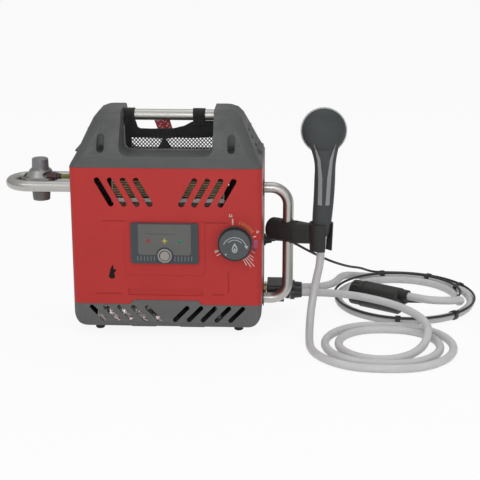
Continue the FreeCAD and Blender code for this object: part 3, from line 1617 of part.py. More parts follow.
def make_all():
    os.makedirs("parts", exist_ok=True)
    save("front_panel", make_front_panel())
    save("rear_shell", make_rear_shell())
    save("top_cover", make_top_cover())
    save("base_tray", make_base_tray())
    save("rubber_feet", make_feet())
    save("case_screws", make_screws())
    save("side_grommets", make_bushes())
    save("sight_window", flame_plate(0.0, front_y + 0.3, inner_front + 0.5))
    save("display_frame", make_display_frame())
    save("button_ring", make_button_ring())
    save("display_label", make_display_label())
    save("status_lights", make_lights())
    save("power_button", make_button())
    save("control_board", make_board())
    save("temperature_dial", make_dial())
    save("dial_shaft", make_shaft())
    save("gas_valve", make_valve())
    save("carry_rail", make_rail())
    save("cylinder_loop", make_loop())
    save("storage_handle", make_handle())
    save("heat_exchanger", make_exchanger())
    save("combustion_chamber", make_chamber())
    save("burner", make_burner())
    save("foil_shield", make_shield())
    save("battery_pack", make_battery())
    save("copper_pipes", Part.makeCompound(water_pipes() + gas_pipes()))
    save("water_block", make_couplings())
    save("brass_nipples", make_nipples())
    save("outlet_collar", make_collar(water_lines()[0]))
    save("inlet_collar", make_collar(water_lines()[1]))
    save("hose_connectors", make_connectors())
    save("power_socket", make_power_socket())
    save("cable_plug", make_cable_plug())
    save("regulator_body", make_regulator())
    save("regulator_cap", make_reg_cap())
    save("regulator_plate", make_reg_plate())
    save("cylinder_socket", make_socket())
    save("gas_fitting", make_elbow())
    save("gas_hose", make_gas_hose())
    save("pouch_band", make_band())
    save("pouch_net", make_net())
    save("red_lanyard", make_lanyard())
    save("clamp_liner", make_liner())
    save("handset_holder", make_holder())
    save("clamp_knob", make_knob())
    save("handset_body", make_handset())
    save("spray_face", make_spray_face())
    save("handset_inlays", make_inlays())
    save("hose_cone_nut", make_nut())
    save("shower_hose_drop", make_shower_drop())
    coil, coil_end, climb = make_shower_coil()
    save("shower_hose_coil", coil)
    save("shower_hose_lead", make_shower_lead(coil_end, climb))
    save("pump_hose_lead", make_pump_lead())
    coil, coil_end = make_pump_coil()
    save("pump_hose_coil", coil)
    tail, tail_end = make_pump_tail(coil_end)
    save("pump_hose_tail", tail)
    save("cable_lead", make_cable_lead())
    coil, cable_tip = make_cable_coil()
    save("cable_coil", coil)
    save("water_pump", make_pump(tail_end, cable_tip))
    save("pump_strainer", make_strainer())
    save("hose_clips", make_clips())


make_all()
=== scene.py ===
import math

import bmesh
import bpy
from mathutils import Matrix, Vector


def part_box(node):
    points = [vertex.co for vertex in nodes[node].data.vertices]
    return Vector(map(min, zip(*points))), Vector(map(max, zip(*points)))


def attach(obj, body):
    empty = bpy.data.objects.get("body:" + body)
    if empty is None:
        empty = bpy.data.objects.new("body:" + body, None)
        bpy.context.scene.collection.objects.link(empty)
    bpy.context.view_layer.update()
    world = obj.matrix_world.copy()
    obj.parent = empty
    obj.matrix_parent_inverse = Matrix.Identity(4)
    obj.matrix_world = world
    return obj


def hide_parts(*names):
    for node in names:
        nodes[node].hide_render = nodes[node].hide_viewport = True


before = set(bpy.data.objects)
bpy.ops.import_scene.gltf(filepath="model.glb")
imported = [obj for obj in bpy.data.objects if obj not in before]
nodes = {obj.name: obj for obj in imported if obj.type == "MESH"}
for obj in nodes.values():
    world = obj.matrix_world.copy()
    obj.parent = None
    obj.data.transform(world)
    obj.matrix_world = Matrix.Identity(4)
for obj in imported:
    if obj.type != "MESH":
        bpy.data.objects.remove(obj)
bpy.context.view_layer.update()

# Places are written in millimetres about the middle of the case, on the floor.
tray_low, tray_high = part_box("base_tray")
MIDDLE_X = (tray_low[0] + tray_high[0]) / 2
MIDDLE_Y = (tray_low[1] + tray_high[1]) / 2
X, Y, Z = Vector((1, 0, 0)), Vector((0, 1, 0)), Vector((0, 0, 1))

# The front panel's face, the height of the carry rail's axis and the rail's radius.
PANEL_Y = -92.5
RAIL_Z = 369.0
TUBE_R = 9.525


def place(x, y, z):
    return Vector((x / 1000 + MIDDLE_X, y / 1000 + MIDDLE_Y, z / 1000))


def places(points):
    return [place(*p) for p in points]


def link(obj):
    bpy.context.scene.collection.objects.link(obj)
    return obj


# Camera.
LENS = 91.007
CAMERA_AT = (217.1, -2059.8, 743.6)
CAMERA_AIM = (121.3, 0, 145.6)


def make_camera():
    data = bpy.data.cameras.new("camera")
    data.sensor_fit = "HORIZONTAL"
    data.sensor_width = 36.0
    data.lens = LENS
    cam = link(bpy.data.objects.new("camera", data))
    cam.location = place(*CAMERA_AT)
    look = place(*CAMERA_AIM) - cam.location
    cam.rotation_euler = look.to_track_quat("-Z", "Y").to_euler()
    bpy.context.scene.camera = cam


# Cords.
HOSE_R = 7.0
CABLE_R = 2.25
FLOOR_GAP = 0.3
FLOOR_Z = HOSE_R + FLOOR_GAP
HALF_STEP = math.radians(11.25)
SPLINE_STEPS = 6
ROUND_STEPS = 5


def turn_points(centre, first, side, radius, quarters):
    """Control points round part of a turn, from centre + first * radius towards side."""
    reach = radius / 1000 / math.cos(HALF_STEP)
    points = []
    for k in range(4 * quarters):
        a = (2 * k + 1) * HALF_STEP
        points.append(centre + (first * math.cos(a) + side * math.sin(a)) * reach)
    return points


def tube_mesh(name, data):
    """A mesh object from a curve, so that its box is the box of what shows."""
    maker = bpy.data.objects.new(name, data)
    mesh = bpy.data.meshes.new_from_object(maker)
    bpy.data.objects.remove(maker)
    mesh.name = name
    for poly in mesh.polygons:
        poly.use_smooth = True
    return link(bpy.data.objects.new(name, mesh))


def spline_points(data):
    """The points that a curve with no bevel runs through."""
    maker = bpy.data.objects.new("route", data)
    found = [tuple(v.co) for v in bpy.data.meshes.new_from_object(maker).vertices]
    bpy.data.objects.remove(maker)
    return found


def cord_object(name, points, radius):
    """A round tube along one smooth spline, and the points of its centreline."""
    data = bpy.data.curves.new(name, "CURVE")
    data.dimensions = "3D"
    spline = data.splines.new("NURBS")
    spline.points.add(len(points) - 1)
    for p, co in zip(spline.points, points):
        p.co = (co.x, co.y, co.z, 1.0)
    spline.order_u = 3
    spline.use_endpoint_u = True
    spline.resolution_u = SPLINE_STEPS
    path = spline_points(data)
    data.bevel_depth = radius / 1000
    data.bevel_resolution = ROUND_STEPS
    data.use_fill_caps = True
    tube = tube_mesh(name, data)
    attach(tube, "case")
    return tube, path


def shower_hose():
    """Down from the handset, flat turns on the floor, then up to the front coupling."""
    grip_x, grip_y = 263.418, -33.15
    start_x, turns_y, flat = 245.0, -143.5, 0.88
    points = places([
        (grip_x, grip_y, 139.9), (grip_x, grip_y, 116), (255, -36, 80), (249, -47, 42),
        (246, -68, 17), (start_x, -100, FLOOR_Z),
    ])
    x = start_x
    way = 1
    for half in (120.0, 107.0, 96.0, 84.5):
        r = half * flat
        for centre_x, first, side in ((x + way * r, -X * way, -Y * way),
                                      (x + way * (2 * half - r), -Y * way, X * way)):
            points += turn_points(place(centre_x, turns_y, FLOOR_Z), first, side, r, 1)
        x += 2 * half * way
        way = -way
    last_r, rise_r, tilt = 67.0, 80.0, math.radians(12.0)
    middle = place(x + last_r, turns_y, FLOOR_Z)
    points += turn_points(middle, -X, -Y, last_r, 1)
    climb = Y * math.cos(tilt) + Z * math.sin(tilt)
    front = middle - Y * (last_r / 1000)
    points += turn_points(front + climb * (rise_r / 1000), -climb, X, rise_r, 1)
    points += places([
        (447, -108, 31.1), (430, -68, 36), (398, -32, 39.5), (356, -6, 42), (312, 14, 43),
        (262, 25, 41.5), (232, 25, 41.5),
    ])
    hose, path = cord_object("shower_hose", points, HOSE_R)
    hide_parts("shower_hose_drop", "shower_hose_coil", "shower_hose_lead")
    return hose


COIL_X = 419.0
COIL_BACK = 231.0
COIL_RADII = (127.0, 118.0, 102.0)


def pump_hose():
    """From the rear coupling to the back, two turns inwards, then into the pump's end."""
    big, mid, small = COIL_RADII
    points = places([
        (232, 55, 41.5), (259, 55, 41.5), (282, 67.5, 42), (296, 92, 40.5), (305, 138, 35),
        (316, 178, 26), (333, 212, 15.5), (364, COIL_BACK, FLOOR_Z),
    ])
    front = COIL_BACK - 2 * big
    back = front + 2 * mid
    points += turn_points(place(COIL_X, COIL_BACK - big, FLOOR_Z), Y, X, big, 2)
    points += turn_points(place(COIL_X, front + mid, FLOOR_Z), -Y, -X, mid, 2)
    points += turn_points(place(COIL_X, back - small, FLOOR_Z), Y, X, small, 1)
    tail_x = COIL_X + small
    points += places([
        (tail_x, 76, FLOOR_Z), (tail_x, 28.9, 31), (498.4, 2.9, 37), (464.4, -1.8, 39),
        (445.6, 10.3, 37.3), (423.76, 24.4, 37.3),
    ])
    hose, path = cord_object("pump_hose", points, HOSE_R)
    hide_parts("pump_hose_lead", "pump_hose_coil", "pump_hose_tail")
    return hose


def pump_cable():
    """From the plug over the hose, then clipped to its outside as far as the pump."""
    off, level, tilt, last_r = 7.2, 14.0, math.radians(1.0), 71.0
    big, mid, small = (r + off for r in COIL_RADII)
    back = COIL_BACK + off
    points = places([
        (182.5, 60, 130), (207, 60, 130), (240, 70, 108), (284, 100, 78), (322, 150, 52),
        (345, 190, 38), (362, 224, 22), (378, back, level),
    ])
    away = Y * math.cos(tilt) + Z * math.sin(tilt)
    down = -Y * math.cos(tilt) + Z * math.sin(tilt)
    points += turn_points(place(COIL_X, back - big, level), Y, X, big, 2)
    front = place(COIL_X, back - 2 * big, level)
    points += turn_points(front + away * (mid / 1000), -away, -X, mid, 2)
    rear = front + away * (2 * mid / 1000)
    points += turn_points(rear + down * (small / 1000), -down, X, small, 1)
    side = rear + down * (small / 1000) + X * (small / 1000)
    points += turn_points(side - X * (last_r / 1000), X, down, last_r, 1)
    end = side - X * (last_r / 1000) + down * (last_r / 1000)
    points.append(Vector((place(424.0, 0, 0).x, end.y, end.z)))
    cable, path = cord_object("pump_cable", points, CABLE_R)
    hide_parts("cable_lead", "cable_coil")
    return cable


# Materials.
def texture_noise(tree, scale, detail=3.0):
    coord = tree.nodes.new("ShaderNodeTexCoord")
    tex = tree.nodes.new("ShaderNodeTexNoise")
    tex.inputs["Scale"].default_value = scale
    tex.inputs["Detail"].default_value = detail
    tree.links.new(coord.outputs["Object"], tex.inputs["Vector"])
    return tex.outputs["Fac"]


def spread(tree, value, low, high, start=0.3, stop=0.7):
    """Stretch a noise value from start..stop to low..high."""
    node = tree.nodes.new("ShaderNodeMapRange")
    node.inputs["From Min"].default_value = start
    node.inputs["From Max"].default_value = stop
    node.inputs["To Min"].default_value = low
    node.inputs["To Max"].default_value = high
    tree.links.new(value, node.inputs["Value"])
    return node.outputs["Result"]


def mix_colours(tree, factor, a, b):
    node = tree.nodes.new("ShaderNodeMix")
    node.data_type = "RGBA"
    for socket, colour in ((node.inputs[6], a), (node.inputs[7], b)):
        if isinstance(colour, tuple):
            socket.default_value = (*colour, 1.0)
        else:
            tree.links.new(colour, socket)
    tree.links.new(factor, node.inputs[0])
    return node.outputs[2]


def shade(colour, by):
    return tuple(min(1.0, c * by) for c in colour)


def bump_node(tree, height, strength, depth, normal=None):
    node = tree.nodes.new("ShaderNodeBump")
    node.inputs["Strength"].default_value = strength
    node.inputs["Distance"].default_value = depth
    tree.links.new(height, node.inputs["Height"])
    if normal:
        tree.links.new(normal, node.inputs["Normal"])
    return node.outputs["Normal"]


def surface(name, colour, rough=0.5, metal=0.0, grain=900.0, bump=0.15, patch=0.08,
            patch_scale=18.0, other=None, soft_edge=0.0006, worn=None, weave=None, depth=0.0004,
            **fixed):
    """A procedural finish: broad patches, fine grain, uneven gloss, rounded and worn edges, weave with
    painted shade in its low parts.
    """
    mat = bpy.data.materials.new(name)
    mat.use_nodes = True
    tree = mat.node_tree
    bsdf = tree.nodes["Principled BSDF"]
    broad = spread(tree, texture_noise(tree, patch_scale, 4.0), 0.0, 1.0)
    pair = (colour, other) if other else (shade(colour, 1 - patch), shade(colour, 1 + patch))
    shown = mix_colours(tree, broad, *pair)
    if worn:
        geometry = tree.nodes.new("ShaderNodeNewGeometry")
        edges = spread(tree, geometry.outputs["Pointiness"], 0.0, 0.5, 0.52, 0.62)
        shown = mix_colours(tree, edges, shown, worn)
    normal = None
    if soft_edge:
        rounded = tree.nodes.new("ShaderNodeBevel")
        rounded.samples = 4
        rounded.inputs["Radius"].default_value = soft_edge
        normal = rounded.outputs["Normal"]
    height = texture_noise(tree, grain, 2.0)
    if weave:
        height = woven(tree, weave)
        # Painted shade: the weave's low parts are darkened to half the colour.
        shown = mix_colours(tree, height, shade(colour, 0.5), shown)
    tree.links.new(shown, bsdf.inputs["Base Color"])
    gloss = spread(tree, texture_noise(tree, 60.0, 3.0), rough * 0.88, min(1.0, rough * 1.12))
    tree.links.new(gloss, bsdf.inputs["Roughness"])
    tree.links.new(bump_node(tree, height, bump, depth, normal), bsdf.inputs["Normal"])
    bsdf.inputs["Metallic"].default_value = metal
    for key, value in fixed.items():
        bsdf.inputs[key.replace("_", " ")].default_value = value
    return mat


def woven(tree, threads):
    """Height of a plain weave, from two sets of bands at right angles on the cloth's face."""
    coord = tree.nodes.new("ShaderNodeTexCoord")
    heights = []
    for axis in ("X", "Z"):
        bands = tree.nodes.new("ShaderNodeTexWave")
        bands.wave_type = "BANDS"
        bands.bands_direction = axis
        bands.inputs["Scale"].default_value = threads
        bands.inputs["Distortion"].default_value = 0.6
        tree.links.new(coord.outputs["Object"], bands.inputs["Vector"])
        heights.append(bands.outputs["Fac"])
    both = tree.nodes.new("ShaderNodeMath")
    both.operation = "MAXIMUM"
    tree.links.new(heights[0], both.inputs[0])
    tree.links.new(heights[1], both.inputs[1])
    return both.outputs[0]


LOW_SHEEN = {"Specular_IOR_Level": 0.3}

finish = {
    "red": surface("red_panel", (0.425, 0.029, 0.0265), 0.44, grain=1400, bump=0.08, patch=0.05,
                   patch_scale=9.0, Specular_IOR_Level=0.25),
    "charcoal": surface("charcoal_moulding", (0.080, 0.084, 0.082), 0.55, grain=1300, bump=0.22,
                        patch=0.07, worn=(0.15, 0.155, 0.15), **LOW_SHEEN),
    "rubber": surface("black_rubber", (0.020, 0.020, 0.020), 0.7, grain=700, bump=0.2, **LOW_SHEEN),
    "screw": surface("screw_black", (0.030, 0.030, 0.031), 0.4, metal=0.6, bump=0.1),
    "window": surface("dark_window", (0.010, 0.007, 0.006), 0.42, bump=0.02, Specular_IOR_Level=0.12),
    "frame": surface("frame_slate", (0.046, 0.056, 0.064), 0.5, grain=1600, bump=0.12, **LOW_SHEEN),
    "frame_rib": surface("frame_rib", (0.13, 0.14, 0.15), 0.5, grain=1600, bump=0.1, **LOW_SHEEN),
    "label": surface("label_print", (0.112, 0.114, 0.108), 0.5, grain=1800, bump=0.06, patch=0.04,
                     soft_edge=0, **LOW_SHEEN),
    "label_ink": surface("label_ink", (0.055, 0.058, 0.058), 0.5, bump=0.04, soft_edge=0, **LOW_SHEEN),
    "button": surface("button_silver", (0.30, 0.285, 0.265), 0.38, metal=0.4, grain=1600, bump=0.1),
    "dial": surface("dial_charcoal", (0.070, 0.080, 0.084), 0.5, grain=1500, bump=0.12, **LOW_SHEEN),
    "dial_edge": surface("dial_grip", (0.012, 0.012, 0.012), 0.5, grain=900, bump=0.2, **LOW_SHEEN),
    "tube": surface("tube_alloy", (0.47, 0.46, 0.44), 0.37, metal=1.0, grain=700, bump=0.03,
                    patch=0.04, patch_scale=12.0, soft_edge=0),
    "steel": surface("bright_steel", (0.60, 0.61, 0.62), 0.3, metal=1.0, grain=300, bump=0.1),
    # Foil: its dark second colour in broad patches is painted shade and dark reflection of the
    # crumples.
    "foil": surface("foil", (0.48, 0.42, 0.40), 0.34, metal=0.85, grain=75, bump=1.0, depth=0.004,
                    patch_scale=85.0, other=(0.06, 0.056, 0.053)),
    "fins": surface("exchanger_fins", (0.80, 0.66, 0.42), 0.45, metal=0.2, grain=300, bump=0.15,
                    patch_scale=50.0, other=(0.55, 0.47, 0.34)),
    "flange": surface("exchanger_flange", (0.86, 0.83, 0.78), 0.4, metal=0.1, grain=300, bump=0.15),
    "copper": surface("copper_pipe", (0.55, 0.30, 0.17), 0.35, metal=1.0, grain=300, bump=0.1),
    "brass": surface("brass_fitting", (0.66, 0.50, 0.24), 0.3, metal=1.0, grain=500, bump=0.1),
    "bronze": surface("bronze_fitting", (0.060, 0.036, 0.033), 0.4, metal=0.8, grain=400, bump=0.25),
    "zinc": surface("cast_zinc", (0.36, 0.355, 0.35), 0.42, metal=0.85, grain=520, bump=0.3,
                    patch=0.12, patch_scale=60.0),
    "cap": surface("cap_grey", (0.20, 0.20, 0.215), 0.42, metal=0.4, grain=700, bump=0.2),
    "socket": surface("socket_grey", (0.120, 0.122, 0.115), 0.5, grain=700, bump=0.2),
    "gas": surface("gas_hose", (0.14, 0.165, 0.035), 0.45, grain=500, bump=0.15),
    "gloss": surface("black_moulding", (0.026, 0.027, 0.026), 0.5, grain=1200, bump=0.15,
                     patch=0.15, **LOW_SHEEN),
    "pump": surface("pump_moulding", (0.017, 0.016, 0.015), 0.45, grain=1200, bump=0.12, patch=0.1,
                    Specular_IOR_Level=0.4),
    "coupling": surface("coupling_black", (0.012, 0.012, 0.012), 0.42, grain=1200, bump=0.15),
    "handset": surface("handset_grey", (0.048, 0.053, 0.054), 0.56, grain=1800, bump=0.05,
                       patch=0.06, Specular_IOR_Level=0.28),
    "inlay": surface("inlay_grey", (0.235, 0.237, 0.243), 0.4, grain=1500, bump=0.05, soft_edge=0),
    "face": surface("face_grey", (0.50, 0.50, 0.51), 0.4, grain=1500, bump=0.05),
    "nut": surface("white_nut", (0.60, 0.62, 0.63), 0.38, grain=1200, bump=0.05),
    "hose": surface("hose_vinyl", (0.53, 0.53, 0.535), 0.36, grain=260, bump=0.05, patch=0.05,
                    patch_scale=30.0, soft_edge=0, Subsurface_Weight=0.6, Subsurface_Scale=0.008,
                    Subsurface_Radius=(1.0, 1.0, 1.0)),
    "cable": surface("cable_sheath", (0.014, 0.014, 0.014), 0.42, grain=700, bump=0.08, soft_edge=0),
    "web": surface("pouch_web", (0.016, 0.016, 0.016), 0.85, bump=0.9, soft_edge=0, weave=190.0,
                   Sheen_Weight=0.15, **LOW_SHEEN),
    "strand": surface("net_strand", (0.030, 0.030, 0.031), 0.8, grain=900, bump=0.4, soft_edge=0),
    "strap": surface("red_web", (0.30, 0.022, 0.028), 0.8, bump=1.0, soft_edge=0, weave=150.0,
                     Sheen_Weight=0.15),
    "strap_fleck": surface("strap_fleck", (0.42, 0.40, 0.38), 0.8, bump=0.5, soft_edge=0),
    "board": surface("board_green", (0.020, 0.090, 0.035), 0.45),
    "battery": surface("battery_case", (0.020, 0.028, 0.040), 0.5),
    "white": surface("print_white", (0.66, 0.63, 0.60), 0.5, bump=0.05, soft_edge=0),
    "grey_ink": surface("print_grey", (0.42, 0.43, 0.44), 0.5, bump=0.05, soft_edge=0),
    "amber": surface("print_amber", (0.50, 0.235, 0.045), 0.5, bump=0.05, soft_edge=0),
    "blue": surface("print_blue", (0.17, 0.15, 0.36), 0.5, bump=0.05, soft_edge=0),
    "led_red": surface("light_red", (0.30, 0.028, 0.028), 0.25, bump=0.02, soft_edge=0),
    "led_yellow": surface("light_yellow", (0.44, 0.40, 0.08), 0.25, bump=0.02, soft_edge=0),
    "led_green": surface("light_green", (0.02, 0.19, 0.105), 0.25, bump=0.02, soft_edge=0),
}

dress = {
    "red": ["front_panel"],
    "charcoal": ["top_cover", "base_tray", "rear_shell"],
    "rubber": ["rubber_feet", "side_grommets"],
    "screw": ["case_screws"],
    "window": ["sight_window"],
    "label": ["display_label"],
    "button": ["power_button", "button_ring"],
    "tube": ["carry_rail", "cylinder_loop", "storage_handle"],
    "steel": ["combustion_chamber", "burner", "dial_shaft", "gas_valve"],
    "foil": ["foil_shield"],
    "fins": ["heat_exchanger"],
    "copper": ["copper_pipes"],
    "brass": ["brass_nipples"],
    "bronze": ["gas_fitting"],
    "zinc": ["regulator_body", "regulator_plate"],
    "cap": ["regulator_cap"],
    "socket": ["cylinder_socket"],
    "gas": ["gas_hose"],
    "coupling": ["water_block", "outlet_collar", "inlet_collar", "hose_connectors", "power_socket",
                 "cable_plug", "hose_clips"],
    "gloss": ["handset_holder", "clamp_knob", "clamp_liner"],
    "pump": ["water_pump", "pump_strainer"],
    "handset": ["handset_body"],
    "inlay": ["handset_inlays"],
    "face": ["spray_face"],
    "nut": ["hose_cone_nut"],
    "board": ["control_board"],
    "battery": ["battery_pack"],
}


def dress_nodes():
    for key, names in dress.items():
        for name in names:
            nodes[name].data.materials.clear()
            nodes[name].data.materials.append(finish[key])


def split_faces(name, choose, keys):
    """Give a node's faces one of several finishes, chosen by where each face lies."""
    mesh = nodes[name].data
    mesh.materials.clear()
    for key in keys:
        mesh.materials.append(finish[key])
    for poly in mesh.polygons:
        at = (poly.center - Vector((MIDDLE_X, MIDDLE_Y, 0))) * 1000
        poly.material_index = choose(at, poly.normal)


# Flat prints.
PRINT_GAP = 0.12
DIAL_X = 117.3
DIAL_Z = 168.0
DIAL_FACE_Y = PANEL_Y - 0.6 - 15.0
DIAL_RIM_R = 27.2
LABEL_Y = PANEL_Y - 4.0
LABEL_X = -2.2
RIB_X = 16
RULE_Z = 182.5
LIGHT_Z = 170.0
LIGHT_PITCH = 27.3


def prints(name, key, pieces, y, body):
    """Thin printed shapes on a face that looks to the front; each is a list of (x, z) corners."""
    bm = bmesh.new()
    for corners in pieces:
        pairs = zip(corners, corners[1:] + corners[:1])
        if sum(a[0] * b[1] - b[0] * a[1] for a, b in pairs) < 0:
            corners = corners[::-1]
        bm.faces.new([bm.verts.new(place(px, y - PRINT_GAP, pz)) for px, pz in corners])
    mesh = bpy.data.meshes.new(name)
    bm.to_mesh(mesh)
    bm.free()
    mesh.materials.append(finish[key])
    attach(link(bpy.data.objects.new(name, mesh)), body)


def polar(deg, r, centre=(DIAL_X, DIAL_Z)):
    """A point at a clock angle: degrees go clockwise from the top."""
    a = math.radians(deg)
    return centre[0] + r * math.sin(a), centre[1] + r * math.cos(a)


def bar(start, stop, width):
    d = Vector((stop[0] - start[0], stop[1] - start[1])).normalized()
    s = Vector((-d.y, d.x)) * (width / 2)
    return [(start[0] + s.x, start[1] + s.y), (start[0] - s.x, start[1] - s.y),
            (stop[0] - s.x, stop[1] - s.y), (stop[0] + s.x, stop[1] + s.y)]


def ray(deg, r0, r1, width):
    return bar(polar(deg, r0), polar(deg, r1), width)


def beside(deg, off, r0, r1, width):
    """A stroke that runs outwards beside the ray at deg, off millimetres to its right."""
    a = math.radians(deg)
    shift = (off * math.cos(a), -off * math.sin(a))
    ends = []
    for r in (r0, r1):
        x, z = polar(deg, r)
        ends.append((x + shift[0], z + shift[1]))
    return bar(ends[0], ends[1], width)


def dashes(centre, r, width, start, stop, count, fill):
    """Short curved strokes along an arc; fill is the inked share."""
    out = []
    step = (stop - start) / count
    for i in range(count):
        a, b = start + i * step, start + (i + fill) * step
        out.append([polar(a, r - width / 2, centre), polar(a, r + width / 2, centre),
                    polar(b, r + width / 2, centre), polar(b, r - width / 2, centre)])
    return out


def disc(x, z, r, steps=14):
    return [polar(360 * k / steps, r, (x, z)) for k in range(steps)]


def drop(x, z, size):
    """A plain water drop, point up."""
    points = []
    for k in range(16):
        a = 2 * math.pi * k / 16
        wide = math.sin(a / 2)
        points.append((x + size * 0.62 * math.sin(a) * wide, z + size * (0.85 * math.cos(a) + 0.1)))
    return points


def dial_scale():
    """Generic strokes round the dial: pale marks, an amber scale and a blue one."""
    pale = [beside(-7, k * 0.25, 31.5 + 2.6 * k, 33.3 + 2.6 * k, 2.2) for k in range(4)]
    pale += [beside(-9, -1.6, 45.0, 50.0, 1.3), beside(-9, 1.8, 44.5, 49.0, 1.3)]
    pale.append(bar(polar(-13.0, 46.4), polar(-5.5, 46.2), 1.2))
    long_strokes = ((155.5, 45.0), (149.5, 50.5), (143.5, 53.0), (137.5, 44.0), (131.5, 41.0))
    pale += [bar(polar(deg, 31.8), polar(deg - 1.5, stop), 1.0) for deg, stop in long_strokes]
    pale += [ray(72, 31.8, 37.0, 1.4), ray(64, 41.0, 45.0, 1.4)]
    pale.append(bar(polar(60, 42.5), polar(66, 40.5), 1.2))
    pale += [beside(240, off, 31.5, 39.0, 1.0) for off in (-5.0, 0.8)]
    pale.append(disc(*polar(244, 35.5), 2.0))
    prints("dial_marks_pale", "white", pale, PANEL_Y, "case")
    amber = [ray(13 + i * 6.2, 32.0, 37.5, 1.2) for i in range(8)]
    amber.append(beside(240, 3.4, 31.5, 40.0, 1.2))
    prints("dial_marks_amber", "amber", amber, PANEL_Y, "case")
    prints("dial_marks_blue", "blue", [ray(85 + i * 5.6, 31.8, 38.0, 1.5) for i in range(6)],
           PANEL_Y, "case")
    prints("dial_marks_ice", "grey_ink", [ray(107.4 + i * 5.6, 31.8, 38.0, 1.0) for i in range(3)],
           PANEL_Y, "case")


def dial_face():
    """A pointer arc with a row of dashes inside it, a drop and an index dot."""
    centre = (DIAL_X, DIAL_Z - 7.0)
    inked = dashes(centre, 20.0, 1.3, -68, 74, 24, 0.86) + dashes(centre, 15.6, 1.6, -44, 50, 13, 0.62)
    tip_x, tip_z = polar(78, 20.0, centre)
    inked.append([(tip_x - 3.4, tip_z + 1.6), (tip_x + 2.6, tip_z + 1.4), (tip_x + 1.2, tip_z - 4.2)])
    inked.append(disc(DIAL_X - 15.0, DIAL_Z - 17.0, 1.5))
    ring = drop(DIAL_X, DIAL_Z - 6.4, 10.0)
    core = drop(DIAL_X, DIAL_Z - 7.2, 6.6)
    for k in range(16):
        j = (k + 1) % 16
        inked.append([ring[k], ring[j], core[j], core[k]])
    inked.append(drop(DIAL_X, DIAL_Z - 8.6, 3.6))
    prints("dial_face_marks", "grey_ink", inked, DIAL_FACE_Y, "dial")
    rim = dashes((DIAL_X, DIAL_Z), DIAL_RIM_R, 2.2, 0, 360, 48, 1.0)
    prints("dial_rim_line", "dial_edge", rim, DIAL_FACE_Y, "dial")


def label_prints():
    """A rule under the bare title space and four small glints round each light."""
    rule = [bar((LABEL_X - 30, RULE_Z), (LABEL_X + 19, RULE_Z - 1), 0.9)]
    prints("label_rule", "label_ink", rule, LABEL_Y, "case")
    for i, key in enumerate(("led_red", "led_yellow", "led_green")):
        x = LABEL_X + (i - 1) * LIGHT_PITCH
        arms = []
        for deg in (0, 90, 180, 270):
            near = polar(deg - 24, 3.2, (x, LIGHT_Z)), polar(deg + 24, 3.2, (x, LIGHT_Z))
            arms.append([near[0], polar(deg, 5.4, (x, LIGHT_Z)), near[1]])
        prints("glint_" + key[4:], key, arms, LABEL_Y, "case")


FLANGE_HALF = 96
FLANGE_LOW, FLANGE_HIGH = 226.5, 233.5
FLANGE_Y = -52.2


def exchanger_flange():
    """The bright rolled edge under the heat exchanger, seen through the slots."""
    corners = [(-FLANGE_HALF, FLANGE_LOW), (FLANGE_HALF, FLANGE_LOW),
               (FLANGE_HALF, FLANGE_HIGH), (-FLANGE_HALF, FLANGE_HIGH)]
    prints("exchanger_flange", "flange", [corners], FLANGE_Y, "case")


# Pouch: a black web band with two loops, a net below it and red straps behind the rail.
BAND_Y = -3.0
BAND_T = 1.8
BAND_HALF = 77.4
LOOP_FOOT_Z = 351
LOOPS = ((-78.4, -60.0), (40.8, 61.8))
NET_TOP = 330.0
NET_STRAND_R = 0.92
NET_PITCH, NET_SLOPE, NET_STEPS = 6.2, 0.95, 24
NET_REACH = 24.0
NET_X = (-68.4, 76.6)
SADDLE_HALF = 79.0
SADDLE_CORNER = 14.0
SADDLE_Z = 308.4
MOUND_X = -9.5
MOUND_HALF = 11.5


def sheet_object(name, patches, key, thickness):
    """One cloth object from rectangular grids of points."""
    bm = bmesh.new()
    for rows in patches:
        verts = [[bm.verts.new(p) for p in row] for row in rows]
        for a, b in zip(verts, verts[1:]):
            for i in range(len(a) - 1):
                bm.faces.new((a[i], a[i + 1], b[i + 1], b[i]))
    mesh = bpy.data.meshes.new(name)
    bm.to_mesh(mesh)
    bm.free()
    mesh.materials.append(finish[key])
    for poly in mesh.polygons:
        poly.use_smooth = True
    obj = link(bpy.data.objects.new(name, mesh))
    solid = obj.modifiers.new("thick", "SOLIDIFY")
    solid.thickness = thickness
    solid.offset = 0.0
    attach(obj, "case")
    return obj


def along(knots, x):
    """Height on a line through knots, eased at each knot."""
    for (x0, z0), (x1, z1) in zip(knots, knots[1:]):
        if x <= x1:
            t = max(0.0, (x - x0) / (x1 - x0))
            return z0 + (z1 - z0) * (3 * t * t - 2 * t * t * t + t) / 2
    return knots[-1][1]


def opening_floor(x):
    """The hand opening's floor at the band, with its rounded corners."""
    into = abs(x) - (SADDLE_HALF - SADDLE_CORNER)
    r = SADDLE_CORNER - 1.4
    if into <= 0:
        return SADDLE_Z + 1.4
    return SADDLE_Z + 1.4 + r - math.sqrt(max(0.0, r * r - into * into))


def cloth_y(x, z):
    """How far back the slack cloth lies: soft folds that grow towards its lower edge."""
    low = (350 - z) / 20
    return BAND_Y + 0.5 * math.sin(x * 0.23 + z * 0.11) * low + 0.7 * math.sin(x * 0.047 + 1.0) * low


